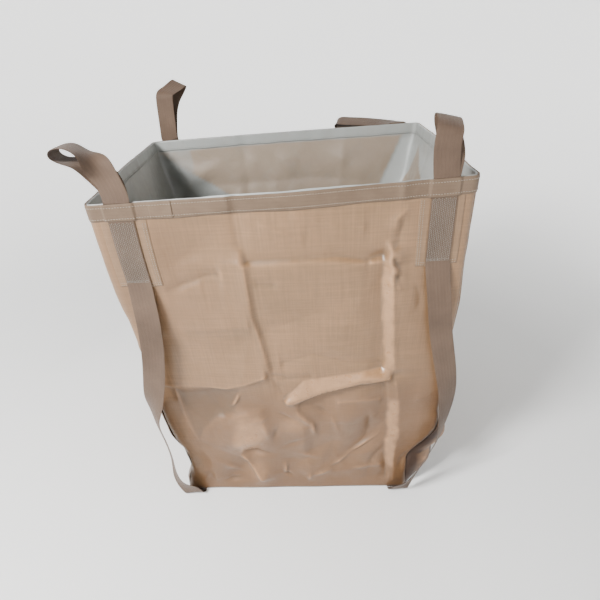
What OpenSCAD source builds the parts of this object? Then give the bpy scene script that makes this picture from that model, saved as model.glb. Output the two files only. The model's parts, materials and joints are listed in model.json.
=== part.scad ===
// Open-top woven bulk bag (FIBC) with inner liner, four lifting loops and two base belts.
// Millimetres, +Z up, origin on the floor under the middle of the base.

/* [Bag] */
// Mean height of the rim above the floor
bag_h = 1168; // [900:1:1400]
// How far the right side of the rim stands above the mean, and the left side below it
rim_tilt = 18; // [0:1:40]
// Thickness of the woven wall fabric
fabric_t = 0.8; // [0.5:0.1:1.5]
// Outward bow of the front rim at its middle
bow_rim = 22; // [0:1:60]
// Outward belly of the walls at mid height
belly = 10; // [0:1:60]
// Share of a side that each rounded corner takes
corner_e = 0.03; // [0.01:0.005:0.08]

/* [Liner] */
// Thickness of the liner film as modelled
liner_t = 0.5; // [0.3:0.1:1]
// Clearance between the wall fabric and the liner
liner_gap = 3; // [1.5:0.5:10]
// Depth of the hem band inside the mouth
hem_d = 42; // [20:1:80]

/* [Rim tape] */
// Height of the binding tape outside the rim
tape_d = 48; // [30:1:80]
// Thickness of the binding tape
tape_t = 0.7; // [0.4:0.1:1.5]

/* [Webbing] */
// Width of the lifting webbing
web_w = 70; // [40:1:100]
// Thickness of the lifting webbing
web_t = 1.8; // [1.2:0.1:4]
// Length of the sewn overlap below the rim
sewn_l = 235; // [150:5:350]
// Width of each reinforcing patch under a sewn strap
patch_w = 120; // [100:1:190]
// Length of each reinforcing patch
patch_l = 248; // [160:5:400]

/* [Hinge lines] */
// Height of each loop's fold line above the rim
axis_up = 4; // [3:0.5:10]
// Gap between a fold line and the webbing on each side of it
axis_gap = 3.5; // [2:0.5:6]

/* [Hidden] */

beige = [0.71, 0.62, 0.52];
milky = [0.80, 0.79, 0.76];
webbing_c = [0.62, 0.55, 0.47];
tape_c = [0.66, 0.59, 0.52];
thread_c = [0.86, 0.83, 0.78];

// Rim and base corners, counter-clockwise from front left: x, y
RIM = [[-526, -483], [520, -467], [582, 482], [-585, 474]];
BASE = [[-430, -422], [412, -452], [437, 430], [-434, 436]];
// Sideways bulge of each corner line, by height share: x, then y
BX = [
    [[0, 0], [0.04, 10], [0.09, 30], [0.13, 44], [0.165, 26], [0.2, 13], [0.3, 6], [0.4, 0], [0.55, -4], [0.7, -6], [0.88, -8], [1, 0]],
    [[0, 0], [0.085, -12], [0.15, -6], [0.19, 40], [0.23, 66], [0.3, 66], [0.4, 56], [0.55, 34], [0.72, 26], [0.88, 12], [1, 0]],
    [[0, 0], [0.1, 14], [0.3, -16], [0.5, -24], [0.75, -14], [1, 0]],
    [[0, 0], [0.1, 10], [0.3, 22], [0.5, 24], [0.75, 12], [1, 0]]];
BY = [
    [[0, 0], [0.1, 4], [0.25, 10], [0.5, 4], [0.8, -4], [1, 0]],
    [[0, 0], [0.1, 12], [0.25, 6], [0.5, -6], [0.8, -6], [1, 0]],
    [[0, 0], [0.15, -10], [0.4, -16], [0.7, -6], [1, 0]],
    [[0, 0], [0.15, -8], [0.4, -14], [0.7, -8], [1, 0]]];
// Rim bow share of each side: front, right, back, left
RB = [1, 0.3, 0.5, 0.4];
// Belly share of each side
BB = [1, -0.8, 1.2, -0.6];

function ease(a) = a * a * (3 - 2 * a);
function mix(a, b, w) = a * (1 - w) + b * w;
function rim_z(k) = bag_h + ((k % 4 == 1 || k % 4 == 2) ? rim_tilt : -rim_tilt);
function side_h(s) = let (k = floor(s) % 4, u = s - floor(s)) mix(rim_z(k), rim_z(k + 1), u);
function corner(k, v) = let (c = (k + 4) % 4)
    mix(BASE[c], RIM[c], v) + [lookup(v, BX[c]), lookup(v, BY[c])];
// Point and outward normal of the wall's middle surface: s is the way round, v the height share
function bow(k, u, v) = let (w = max(0, min(1, (u - corner_e) / (1 - 2 * corner_e))), b = sin(180 * w))
    b * b * (bow_rim * RB[k] * pow(v, 2.5) + belly * BB[k] * sin(180 * v));
function outline(s, v) = let (k = floor(s) % 4, u = s - floor(s), e = corner_e)
    u < e ? let (w = 0.5 + u / (2 * e)) arc_pt(k, w, v)
    : u > 1 - e ? let (w = (u - 1 + e) / (2 * e)) arc_pt(k + 1, w, v)
    : let (a = corner(k, v), b = corner(k + 1, v), d = b - a, n = [d[1], -d[0]] / norm(d))
        [mix(a, b, u) + n * bow(k, u, v), n];
function arc_pt(k, w, v) = let (e = corner_e, b = corner(k, v),
        a = mix(corner(k - 1, v), b, 1 - e), d = mix(b, corner(k + 1, v), e),
        t = (b - a) * (1 - w) + (d - b) * w)
    [a * (1 - w) * (1 - w) + b * 2 * w * (1 - w) + d * w * w, [t[1], -t[0]] / norm(t)];
function on_wall(s, v, o, z) = let (q = outline(s, v), p = q[0] + q[1] * o) [p[0], p[1], z];

function wall_pt(s, z, o) = let (h = side_h(s)) on_wall(s, max(0, min(1, z / h)), o, z);
module shell(ss, zz, o0, o1) {
    // ss: stations round the bag. zz: heights from the floor, or negative and zero ones from the rim.
    // o0, o1: inner and outer offsets.
    n = len(ss);
    m = len(zz);
    hz = function (s, z) z <= 0 ? side_h(s) + z : z;
    pts = concat(
        [for (j = [0 : m - 1], i = [0 : n - 1]) wall_pt(ss[i], hz(ss[i], zz[j]), o0)],
        [for (j = [0 : m - 1], i = [0 : n - 1]) wall_pt(ss[i], hz(ss[i], zz[j]), o1)]);
    quads(pts, n, m);
}
// Two n by m grids of points joined into one closed skin
module quads(pts, n, m) {
    q = n * m;
    polyhedron(pts, concat(
        [for (j = [0 : m - 2], i = [0 : n - 2], t = [0, 1]) let (a = j * n + i)
            t == 0 ? [a, a + n, a + n + 1] : [a, a + n + 1, a + 1]],
        [for (j = [0 : m - 2], i = [0 : n - 2], t = [0, 1]) let (a = q + j * n + i)
            t == 0 ? [a, a + n + 1, a + n] : [a, a + 1, a + n + 1]],
        [for (i = [0 : n - 2], t = [0, 1]) let (a = i)
            t == 0 ? [a, a + 1, q + a + 1] : [a, q + a + 1, q + a]],
        [for (i = [0 : n - 2], t = [0, 1]) let (a = (m - 1) * n + i)
            t == 0 ? [a, q + a + 1, a + 1] : [a, q + a, q + a + 1]],
        [for (j = [0 : m - 2], t = [0, 1]) let (a = j * n)
            t == 0 ? [a, q + a, q + a + n] : [a, q + a + n, a + n]],
        [for (j = [0 : m - 2], t = [0, 1]) let (a = j * n + n - 1)
            t == 0 ? [a, q + a + n, q + a] : [a, a + n, q + a + n]]), convexity = 6);
}
// The same for a strip that closes on itself: the last column joins the first
module ring(pts, n, m) {
    q = n * m;
    polyhedron(pts, concat(
        [for (j = [0 : m - 2], i = [0 : n - 1], t = [0, 1]) let (a = j * n + i, b = j * n + (i + 1) % n)
            t == 0 ? [a, a + n, b + n] : [a, b + n, b]],
        [for (j = [0 : m - 2], i = [0 : n - 1], t = [0, 1]) let (a = q + j * n + i, b = q + j * n + (i + 1) % n)
            t == 0 ? [a, b + n, a + n] : [a, b, b + n]],
        [for (i = [0 : n - 1], t = [0, 1]) let (a = i, b = (i + 1) % n)
            t == 0 ? [a, b, q + b] : [a, q + b, q + a]],
        [for (i = [0 : n - 1], t = [0, 1]) let (a = (m - 1) * n + i, b = (m - 1) * n + (i + 1) % n)
            t == 0 ? [a, q + b, b] : [a, q + a, q + b]]), convexity = 10);
}
module ring_shell(ss, zz, of0, of1) {
    hz = function (s, z) z <= 0 ? side_h(s) + z : z;
    n = len(ss);
    m = len(zz);
    ring(concat(
        [for (j = [0 : m - 1], i = [0 : n - 1]) wall_pt(ss[i], hz(ss[i], zz[j]), of0(ss[i]))],
        [for (j = [0 : m - 1], i = [0 : n - 1]) wall_pt(ss[i], hz(ss[i], zz[j]), of1(ss[i]))]), n, m);
}

// Stations: along one side between its rounded corners, and a whole turn
function span(a, b, n) = [for (i = [0 : n]) a + (b - a) * i / n];
E = corner_e;
LU = [0.004, 0.015, 0.03, 0.05, 0.075, 0.1, 0.125, 0.15, 0.22, 0.31, 0.4];
SIDE_U = concat(LU, [0.5], [for (i = [len(LU) - 1 : -1 : 0]) 1 - LU[i]]);
function side_st(k) = [for (u = SIDE_U) k + u];
function turn_st() = [for (k = [0 : 3], u = SIDE_U) k + u];
function turn_web() = [for (k = [0 : 3]) each
    k == 0 || k == 2
        ? let (p = STC[k][0], r = STC[k][1]) concat([k + 0.004, k + 0.015, k + 0.03], web_st(k, p),
            [for (u = SIDE_U) if (u > p + 0.045 && u < r - 0.045) k + u], web_st(k, r), [k + 0.97, k + 0.985, k + 0.996])
        : [for (u = SIDE_U) k + u]];
function web_st(k, p) = [for (d = [-0.042, -0.034, 0, 0.034, 0.042]) k + p + d];
// Strap centres on the front and back rim, as shares of the side
STC = [[0.086, 0.912], [], [0.075, 0.935], []];
STRAPS = [0.086, 0.912, 2.075, 2.935];
function near_web(s) = min([for (p = STRAPS) abs(s - p)]);
function over_web(s) = let (d = near_web(s)) d <= 0.0345 ? 1 : d >= 0.0415 ? 0 : 1 - ease((d - 0.0345) / 0.007);

ROWS = [30, 75, 125, 165, 205, 250, 300, 390, 500, 620, 740, 850, 940, 1020, -85];
PANEL_Z = concat([2.4], ROWS, [-1]);
O_PATCH = fabric_t + 0.3;
O_TAIL = O_PATCH + 0.9;
O_WEB = O_TAIL + web_t + 0.3;
O_TAPE = O_WEB + web_t + 0.5;
O_AXIS = O_WEB - 0.15;

module panel(k) color(beige) shell(side_st(k), PANEL_Z, 0, fabric_t);
module front_panel() panel(0);
module right_panel() panel(1);
module back_panel() panel(2);
module left_panel() panel(3);

// Strip of base fabric: flat on the floor, stepping up over the two belts
belt_l = 392;
belt_r = 372;
module base_panel() color(beige) intersection() {
    translate([0, 460, 0]) rotate([90, 0, 0]) linear_extrude(920)
        polygon([[-440, 2.2], [38 - belt_l, 2.2], [49 - belt_l, 0], [belt_r - 49, 0], [belt_r - 38, 2.2], [440, 2.2],
            [440, 3], [belt_r - 38.3, 3], [belt_r - 49.3, 0.8], [49.3 - belt_l, 0.8], [38.3 - belt_l, 3], [-440, 3]]);
    linear_extrude(10) polygon([for (k = [0 : 3]) BASE[k] - [sign(BASE[k][0]), sign(BASE[k][1])] * 3.5]);
}
module base_seam() color(thread_c)
    ring_shell(turn_st(), [4.5, 16], function (s) -1.5, function (s) -0.5);

LO = -liner_gap;
module liner_wall() color(milky)
    ring_shell(turn_st(), concat([6.5], ROWS, [0]),
        function (s) LO - liner_t, function (s) LO);
module liner_base() color(milky) translate([0, 0, 4.6]) linear_extrude(liner_t)
    polygon([for (k = [0 : 3]) BASE[k] - [sign(BASE[k][0]), sign(BASE[k][1])] * 10]);
module liner_hem() color(milky)
    ring_shell(turn_st(), [-hem_d, -2], function (s) LO - liner_t - 1.4, function (s) LO - liner_t - 0.6);

function tape_o(s) = mix(O_PATCH + 1.1, O_TAPE, over_web(s));
module rim_tape() color(tape_c)
    ring_shell(turn_web(), [-tape_d, -1], function (s) tape_o(s), function (s) tape_o(s) + tape_t);
// The tape's end lies over its start, beside the front left strap
module tape_lap() color(tape_c)
    shell([0.16, 0.19, 0.22], [-tape_d, -1], O_PATCH + 1.1 + tape_t + 0.5, O_PATCH + 1.1 + 2 * tape_t + 0.5);
module rim_stitching() color(thread_c)
    for (z = [-8, -tape_d + 8], k = [0, 2])
        shell([for (u = [0.31, 0.4, 0.5, 0.6, 0.69, 0.78]) k + u], [z - 0.8, z + 0.8], O_PATCH + 1.1 + tape_t + 0.4, O_PATCH + 1.1 + tape_t + 0.9);

// Folded seam allowance inside each corner
module corner_seam_fl() color(beige)
    ring_fold(0);
module corner_seam_fr() color(beige)
    ring_fold(1);
module corner_seam_br() color(beige)
    ring_fold(2);
module corner_seam_bl() color(beige)
    ring_fold(3);
module ring_fold(k) {
    zz = ROWS;
    ss = [-0.015, -0.004, 0.004, 0.015];
    st = function (i) let (s = k + ss[i]) s < 0 ? s + 4 : s;
    hz = function (s, z) z <= 0 ? side_h(s) + z : z;
    quads(concat(
        [for (j = [0 : len(zz) - 1], i = [0 : 3]) wall_pt(st(i), hz(st(i), zz[j]), -1.6)],
        [for (j = [0 : len(zz) - 1], i = [0 : 3]) wall_pt(st(i), hz(st(i), zz[j]), -0.5)]), 4, len(zz));
}

// Reinforcing patch between panel and webbing, from the corner inwards
function patch_st(c) = let (k = floor(c), a = [0.03, 0.05, 0.075, 0.1, 0.125, 0.03 + patch_w / 1000])
    c - k < 0.5 ? [for (u = a) k + u] : [for (i = [5 : -1 : 0]) k + 1 - a[i]];
module patch(c) color(beige)
    shell(patch_st(c), [-patch_l, 940, 1020, -85, -3], O_PATCH, O_PATCH + 0.6);
module patch_fl() patch(STRAPS[0]);
module patch_fr() patch(STRAPS[1]);
module patch_br() patch(STRAPS[2]);
module patch_bl() patch(STRAPS[3]);

// Webbing: a flat strip swept through centre points P with width directions W
function unit(a) = a / norm(a);
function tan_at(P, i) = unit(P[min(i + 1, len(P) - 1)] - P[max(i - 1, 0)]);
function cr(a, b, c, d, w) = ((d - 3 * c + 3 * b - a) * w * w * w + (2 * a - 5 * b + 4 * c - d) * w * w + (c - a) * w) / 2 + b;
function smooth(P, n) = let (m = len(P) - 1)
    concat([for (i = [0 : m - 1], j = [0 : n - 1])
        cr(P[max(i - 1, 0)], P[i], P[i + 1], P[min(i + 2, m)], j / n)], [P[m]]);
module web(P, W, w = web_w, t = web_t, level = false) {
    // level: both ends are cut along their width direction instead of square
    n = len(P);
    ring4 = [for (i = [0 : n - 1]) let (
            a = tan_at(P, i), b = level && (i == 0 || i == n - 1) ? unit(W[i]) : unit(W[i] - a * (W[i] * a)), c = unit(cross(a, b)))
        each [P[i] - b * w / 2 - c * t / 2, P[i] + b * w / 2 - c * t / 2,
              P[i] + b * w / 2 + c * t / 2, P[i] - b * w / 2 + c * t / 2]];
    polyhedron(ring4, concat(
        [[0, 1, 2], [0, 2, 3]],
        [for (i = [0 : n - 2], k = [0 : 3], h = [0, 1]) let (a = i * 4 + k, b = i * 4 + (k + 1) % 4)
            k < 2 ? (h == 0 ? [a, a + 4, b + 4] : [a, b + 4, b]) : (h == 0 ? [a, a + 4, b] : [a + 4, b + 4, b])],
        [[4 * n - 4, 4 * n - 2, 4 * n - 3], [4 * n - 4, 4 * n - 1, 4 * n - 2]]), convexity = 8);
}
// Centre points of the sewn run, down from the fold line, and its width direction
function run_z(c) = side_h(c) + axis_up - axis_gap;
function wall_dir(c, z) = unit(wall_pt(c + 0.03, z, 0) - wall_pt(c - 0.03, z, 0));
function sew_z(c, l) = let (h = side_h(c)) concat([run_z(c), h - 42, h - 85],
    [for (i = [len(ROWS) - 2 : -1 : 0]) if (ROWS[i] > h - l + 4) ROWS[i]], [h - l]);
module sewn(c, o, l) {
    zz = sew_z(c, l);
    web([for (z = zz) wall_pt(c, z, o + web_t / 2)], [for (z = zz) wall_dir(c, z)], level = true);
}
module tail(c) color(webbing_c) sewn(c, O_TAIL, sewn_l - 12);
module tail_fl() tail(STRAPS[0]);
module tail_fr() tail(STRAPS[1]);
module tail_br() tail(STRAPS[2]);
module tail_bl() tail(STRAPS[3]);

// Hand-laid route of each free run, from under the sewn zone to the floor: centre, then width direction
FREE_FL = [[[-418, -494, 800], [1, 0, 0]], [[-422, -498, 700], [1, 0, 0]], [[-434, -498, 610], [1, -0.05, 0]], [[-450, -494, 530], [1, -0.2, 0]],
    [[-462, -486, 470], [0.85, -0.55, 0.2]], [[-469, -480, 420], [0.6, -0.85, 0.5]], [[-466, -478, 370], [0.5, -1, 0.8]],
    [[-456, -476, 310], [0.5, -1, 0.8]], [[-448, -474, 240], [0.5, -1, 0.7]], [[-446, -472, 170], [0.5, -1, 0.7]],
    [[-442, -468, 110], [0.7, -0.8, 0.3]], [[-428, -462, 66], [0.95, -0.35, 0]], [[-410, -458, 36], [1, -0.1, 0]], [[-396, -455, 15], [1, 0, 0]],
    [[-392, -448, 4], [1, 0, 0]], [[-392, -438, 1], [1, 0, 0]], [[-392, -429, 0.9], [1, 0, 0]]];
FREE_FR = [[[440, -494, 830], [1, 0, 0]], [[456, -496, 720], [1, 0.05, 0]], [[484, -494, 590], [1, 0.15, 0]], [[502, -488, 500], [0.95, 0.35, 0]],
    [[508, -482, 430], [0.85, 0.5, -0.1]], [[508, -480, 360], [0.7, 0.7, -0.3]], [[502, -480, 300], [0.55, 0.9, -0.6]],
    [[490, -480, 245], [0.45, 0.95, -0.8]], [[470, -480, 190], [0.4, 1, -0.9]], [[446, -482, 135], [0.45, 1, -0.8]],
    [[422, -484, 88], [0.65, 0.8, -0.3]], [[398, -482, 48], [0.9, 0.45, 0]], [[382, -478, 26], [1, 0.1, 0]], [[374, -474, 12], [1, 0, 0]],
    [[372, -467, 3.5], [1, 0, 0]], [[372, -459, 1], [1, 0, 0]], [[372, -452, 0.9], [1, 0, 0]]];
FREE_BR = [[[482, 492, 820], [-1, 0, 0]], [[474, 490, 700], [-1, 0, 0]], [[462, 484, 560], [-1, 0, 0]], [[450, 478, 400], [-1, 0, 0]],
    [[432, 476, 240], [-1, 0, 0]], [[410, 476, 120], [-1, 0, 0]], [[386, 478, 45], [-1, 0, 0]], [[374, 475, 14], [-1, 0, 0]],
    [[372, 466, 3.2], [-1, 0, 0]], [[372, 456, 1], [-1, 0, 0]], [[372, 448, 0.9], [-1, 0, 0]]];
FREE_BL = [[[-496, 492, 800], [-1, 0, 0]], [[-486, 490, 680], [-1, 0, 0]], [[-468, 484, 540], [-1, 0, 0]], [[-452, 480, 390], [-1, 0, 0]],
    [[-436, 478, 230], [-1, 0, 0]], [[-420, 478, 120], [-1, 0, 0]], [[-402, 480, 45], [-1, 0, 0]], [[-394, 477, 14], [-1, 0, 0]],
    [[-392, 468, 3.2], [-1, 0, 0]], [[-392, 458, 1], [-1, 0, 0]], [[-392, 450, 0.9], [-1, 0, 0]]];
module strap(c, free) color(webbing_c) {
    zz = concat(sew_z(c, sewn_l - 12), [side_h(c) - sewn_l]);
    head = [for (z = zz) [wall_pt(c, z, O_WEB + web_t / 2), wall_dir(c, z)]];
    run = concat([head[len(head) - 1]], free);
    P = smooth([for (q = run) q[0]], 2);
    W = smooth([for (q = run) q[1]], 2);
    web(concat([for (i = [0 : len(head) - 2]) head[i][0]], P), concat([for (i = [0 : len(head) - 2]) head[i][1]], W), level = true);
}
module strap_fl() strap(STRAPS[0], FREE_FL);
module strap_fr() strap(STRAPS[1], FREE_FR);
module strap_br() strap(STRAPS[2], FREE_BR);
module strap_bl() strap(STRAPS[3], FREE_BL);

module base_belt(sx, y0, y1) color(webbing_c)
    translate([(sx < 0 ? -belt_l : belt_r) - web_w / 2, y0, 0]) cube([web_w, y1 - y0, web_t]);
module base_belt_left() base_belt(-1, -428.6, 449.6);
module base_belt_right() base_belt(1, -451.6, 447.6);

// Lines of lock stitch through the sewn zone: four down the webbing and one across its end
module stitching(c) color(thread_c) {
    o = O_WEB + web_t + 0.55;
    h = side_h(c);
    zz = concat([h - tape_d - 8], [for (z = sew_z(c, sewn_l - 12)) if (z < h - tape_d - 12) z]);
    for (d = [-28, -10, 10, 28])
        web([for (z = zz) wall_pt(c, z, o) + wall_dir(c, z) * d], [for (z = zz) wall_dir(c, z)], 1.6, 0.5);
    z = h - sewn_l + 14;
    q = wall_pt(c, z, o + 0.2);
    w = wall_dir(c, z);
    web([q - w * 30, q, q + w * 30], [for (i = [0 : 2]) [0, 0, 1]], 1.6, 0.5);
}
module stitching_fl() stitching(STRAPS[0]);
module stitching_fr() stitching(STRAPS[1]);
module stitching_br() stitching(STRAPS[2]);
module stitching_bl() stitching(STRAPS[3]);

// Fold line of each loop, where its webbing leaves the rim
function axis_pt(c) = let (p = wall_pt(c, side_h(c) * 0.9999, O_AXIS)) [p[0], p[1], side_h(c) + axis_up];
// Loop routes from one foot to the other: offset from the fold line's middle, then width direction
LOOP_FR = [[[0, -1.05, 3], [1, 0, 0]], [[-3, -1.3, 25], [1, 0, 0]], [[-10, -4, 75], [1, 0, 0]], [[-20, -8, 108], [1, 0.05, 0]],
    [[-16, 4, 132], [1, 0.1, 0]], [[0, 34, 150], [1, 0.15, 0]], [[14, 62, 156], [1, 0.2, 0]], [[20, 74, 142], [1, 0.2, 0]],
    [[16, 58, 116], [1, 0.15, 0]], [[12, 24, 82], [1, 0.1, 0]], [[9, 6, 52], [1, 0.05, 0]], [[5, 1.3, 25], [1, 0, 0]], [[3, 1.05, 3], [1, 0, 0]]];
LOOP_FL = [[[0, -1.05, 3], [1, 0, 0]], [[-1, -1.3, 22], [1, 0, 0]], [[-9, -5, 55], [1, 0.05, 0]], [[-22, -10, 92], [0.95, 0.3, -0.2]],
    [[-46, -8, 124], [0.7, 0.8, -0.4]], [[-86, 0, 146], [0.2, 1, 0]], [[-122, 6, 142], [0, 1, 0]], [[-132, 8, 126], [0, 1, 0]],
    [[-112, 10, 110], [0.1, 1, 0]], [[-70, 10, 102], [0.5, 0.9, 0.2]], [[-36, 8, 82], [0.8, 0.5, 0.2]], [[-8, 3, 50], [1, 0.1, 0]],
    [[-1, 1.3, 22], [1, 0, 0]], [[0, 1.05, 3], [1, 0, 0]]];
LOOP_BL = [[[0, 1.05, 3], [1, 0, 0]], [[0, 2, 25], [1, 0, 0]], [[4, 10, 70], [1, 0, 0]], [[12, 24, 120], [1, -0.1, 0]],
    [[26, 40, 165], [0.95, -0.3, -0.15]], [[46, 56, 200], [0.75, -0.55, -0.35]], [[62, 64, 224], [0.6, -0.7, -0.45]],
    [[68, 60, 234], [0.55, -0.7, -0.45]], [[62, 50, 232], [0.6, -0.7, -0.45]], [[46, 34, 216], [0.75, -0.55, -0.35]],
    [[28, 14, 201], [0.9, -0.35, -0.25]], [[15, -2, 193], [1, -0.15, -0.1]], [[9, -14, 188], [1, 0, -0.05]], [[6, -18, 174], [1, 0, 0]],
    [[3, -14, 138], [1, 0, 0]], [[0, -8, 80], [1, 0, 0]], [[-3, -2, 25], [1, 0, 0]], [[-4, -1.05, 3], [1, 0, 0]]];
LOOP_BR = [[[0, 3, 1.05], [1, 0, 0]], [[-5, 20, 0], [0.97, 0.25, 0.03]], [[-26, 42, -4], [0.75, 0.62, 0.15]], [[-75, 66, -4], [0.5, 0.82, 0.28]],
    [[-140, 86, -1], [0.38, 0.86, 0.35]], [[-205, 102, 2], [0.34, 0.88, 0.35]], [[-248, 112, 3], [0.32, 0.9, 0.35]],
    [[-262, 115, -9], [0.3, 0.9, 0.3]], [[-248, 112, -21], [0.32, 0.9, 0.35]], [[-205, 102, -22], [0.34, 0.88, 0.35]],
    [[-140, 86, -22], [0.38, 0.86, 0.35]], [[-75, 66, -20], [0.5, 0.82, 0.28]], [[-26, 42, -15], [0.75, 0.62, 0.15]],
    [[-5, 20, -6], [0.97, 0.25, 0.03]], [[-2, 3, -1.05], [1, 0, 0]]];
module loop_web(c, route) color(webbing_c) translate(axis_pt(c))
    web(smooth([for (q = route) q[0]], 3), smooth([for (q = route) q[1]], 3), level = true);
module loop_fl() loop_web(STRAPS[0], LOOP_FL);
module loop_fr() loop_web(STRAPS[1], LOOP_FR);
module loop_br() loop_web(STRAPS[2], LOOP_BR);
module loop_bl() loop_web(STRAPS[3], LOOP_BL);

front_panel();
right_panel();
back_panel();
left_panel();
base_panel();
liner_wall();
liner_base();
liner_hem();
rim_tape();
tape_lap();
rim_stitching();
corner_seam_fl();
corner_seam_fr();
corner_seam_br();
corner_seam_bl();
base_seam();
patch_fl();
patch_fr();
patch_br();
patch_bl();
tail_fl();
tail_fr();
tail_br();
tail_bl();
strap_fl();
strap_fr();
strap_br();
strap_bl();
base_belt_left();
base_belt_right();
stitching_fl();
stitching_fr();
stitching_br();
stitching_bl();
loop_fl();
loop_fr();
loop_br();
loop_bl();
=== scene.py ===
import json
import math
import bpy
import numpy as np
from mathutils import Vector, Matrix


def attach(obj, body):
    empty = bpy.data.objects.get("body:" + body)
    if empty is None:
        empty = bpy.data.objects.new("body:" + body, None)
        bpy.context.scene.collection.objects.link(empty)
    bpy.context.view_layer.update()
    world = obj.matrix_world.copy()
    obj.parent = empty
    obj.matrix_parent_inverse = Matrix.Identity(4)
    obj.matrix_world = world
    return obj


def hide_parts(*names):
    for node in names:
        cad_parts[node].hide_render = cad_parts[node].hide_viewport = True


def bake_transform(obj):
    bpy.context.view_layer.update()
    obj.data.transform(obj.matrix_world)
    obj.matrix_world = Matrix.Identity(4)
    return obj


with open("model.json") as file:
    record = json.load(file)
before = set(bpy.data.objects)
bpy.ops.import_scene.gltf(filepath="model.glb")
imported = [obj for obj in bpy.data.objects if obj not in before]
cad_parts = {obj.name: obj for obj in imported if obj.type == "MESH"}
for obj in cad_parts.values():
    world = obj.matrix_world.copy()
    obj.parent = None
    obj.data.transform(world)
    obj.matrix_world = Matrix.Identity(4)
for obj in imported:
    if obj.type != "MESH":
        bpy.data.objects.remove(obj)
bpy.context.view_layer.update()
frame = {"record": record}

# ------------------------------------------------------------------ shape of the walls (millimetres)
BAG_H, TILT, E = 1168.0, 18.0, 0.03
BOW, BELLY = 22.0, 10.0
RIM = np.array([[-526, -483], [520, -467], [582, 482], [-585, 474]], float)
BASE = np.array([[-430, -422], [412, -452], [437, 430], [-434, 436]], float)
BX = [[(0, 0), (.04, 10), (.09, 30), (.13, 44), (.165, 26), (.2, 13), (.3, 6), (.4, 0), (.55, -4), (.7, -6), (.88, -8), (1, 0)],
      [(0, 0), (.085, -12), (.15, -6), (.19, 40), (.23, 66), (.3, 66), (.4, 56), (.55, 34), (.72, 26), (.88, 12), (1, 0)],
      [(0, 0), (.1, 14), (.3, -16), (.5, -24), (.75, -14), (1, 0)],
      [(0, 0), (.1, 10), (.3, 22), (.5, 24), (.75, 12), (1, 0)]]
BY = [[(0, 0), (.1, 4), (.25, 10), (.5, 4), (.8, -4), (1, 0)],
      [(0, 0), (.1, 12), (.25, 6), (.5, -6), (.8, -6), (1, 0)],
      [(0, 0), (.15, -10), (.4, -16), (.7, -6), (1, 0)],
      [(0, 0), (.15, -8), (.4, -14), (.7, -8), (1, 0)]]
RB = [1, .3, .5, .4]
BB = [1, -.8, 1.2, -.6]
STRAPS = [0.086, 0.912, 2.075, 2.935]
FAB, WEB_W, WEB_T = 0.8, 70.0, 1.8
O_PATCH = FAB + .3
O_TAIL = O_PATCH + .9
O_WEB = O_TAIL + WEB_T + .3
AXIS_UP = 4.0


def smooth_table(pairs):
    x = np.linspace(-.3, 1.3, 321)
    p = np.array(pairs, float)
    y = np.interp(x, p[:, 0], p[:, 1])
    k = np.exp(-0.5 * (np.arange(-14, 15) / 5.0) ** 2)
    k /= k.sum()
    return x, np.convolve(np.pad(y, 14, mode="edge"), k, mode="valid")


TX = [smooth_table(b) for b in BX]
TY = [smooth_table(b) for b in BY]


def rim_z(k):
    k = np.asarray(k) % 4
    return BAG_H + np.where((k == 1) | (k == 2), TILT, -TILT)


def side_h(s):
    s = np.mod(s, 4)
    k = np.floor(s).astype(int)
    u = s - k
    return rim_z(k) * (1 - u) + rim_z(k + 1) * u


def corner(k, v):
    k = np.asarray(k) % 4
    p = BASE[k] * (1 - v)[..., None] + RIM[k] * v[..., None]
    dx = np.zeros_like(v)
    dy = np.zeros_like(v)
    for c in range(4):
        m = k == c
        dx[m] = np.interp(v[m], *TX[c])
        dy[m] = np.interp(v[m], *TY[c])
    return p + np.stack([dx, dy], -1)


def outline(s, v):
    """Point and outward normal in plan, for way-round s and height share v."""
    s, v = np.broadcast_arrays(np.mod(np.asarray(s, float), 4), np.asarray(v, float))
    s, v = s.copy(), v.copy()
    k = np.floor(s).astype(int) % 4
    u = s - np.floor(s)
    a, b = corner(k, v), corner(k + 1, v)
    d = b - a
    d /= np.linalg.norm(d, axis=-1, keepdims=True)
    n = np.stack([d[..., 1], -d[..., 0]], -1)
    w = np.clip((u - E) / (1 - 2 * E), 0, 1)
    bb = np.sin(np.pi * w)
    bow = bb * bb * (BOW * np.array(RB)[k] * v ** 2.5 + BELLY * np.array(BB)[k] * np.sin(np.pi * v))
    p = a * (1 - u)[..., None] + b * u[..., None] + n * bow[..., None]
    for side in (0, 1):
        m = u < E if side == 0 else u > 1 - E
        if not m.any():
            continue
        kk = k[m] + side
        ww = .5 + u[m] / (2 * E) if side == 0 else (u[m] - 1 + E) / (2 * E)
        vv = v[m]
        B = corner(kk, vv)
        A = corner(kk - 1, vv) * E + B * (1 - E)
        D = B * (1 - E) + corner(kk + 1, vv) * E
        W = ww[..., None]
        t = (B - A) * (1 - W) + (D - B) * W
        t /= np.linalg.norm(t, axis=-1, keepdims=True)
        p[m] = A * (1 - W) ** 2 + B * 2 * W * (1 - W) + D * W * W
        n[m] = np.stack([t[..., 1], -t[..., 0]], -1)
    return p, n


def seg_dist(X, Z, pts):
    """Signed distance to a polyline (positive on its right) and the share of its length."""
    best = np.full(X.shape, 1e9)
    sgn = np.zeros(X.shape)
    tt = np.zeros(X.shape)
    n = len(pts) - 1
    for i in range(n):
        (x0, z0), (x1, z1) = pts[i], pts[i + 1]
        dx, dz = x1 - x0, z1 - z0
        L = math.hypot(dx, dz)
        t = np.clip(((X - x0) * dx + (Z - z0) * dz) / (L * L), 0, 1)
        d = np.hypot(X - x0 - t * dx, Z - z0 - t * dz)
        side = np.sign((X - x0) * dz - (Z - z0) * dx)
        m = d < best
        best[m], sgn[m], tt[m] = d[m], side[m], ((i + t) / n)[m]
    return best, sgn, tt


def soft(d, e=4.0):
    return np.sqrt(d * d + e * e) - e


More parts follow.
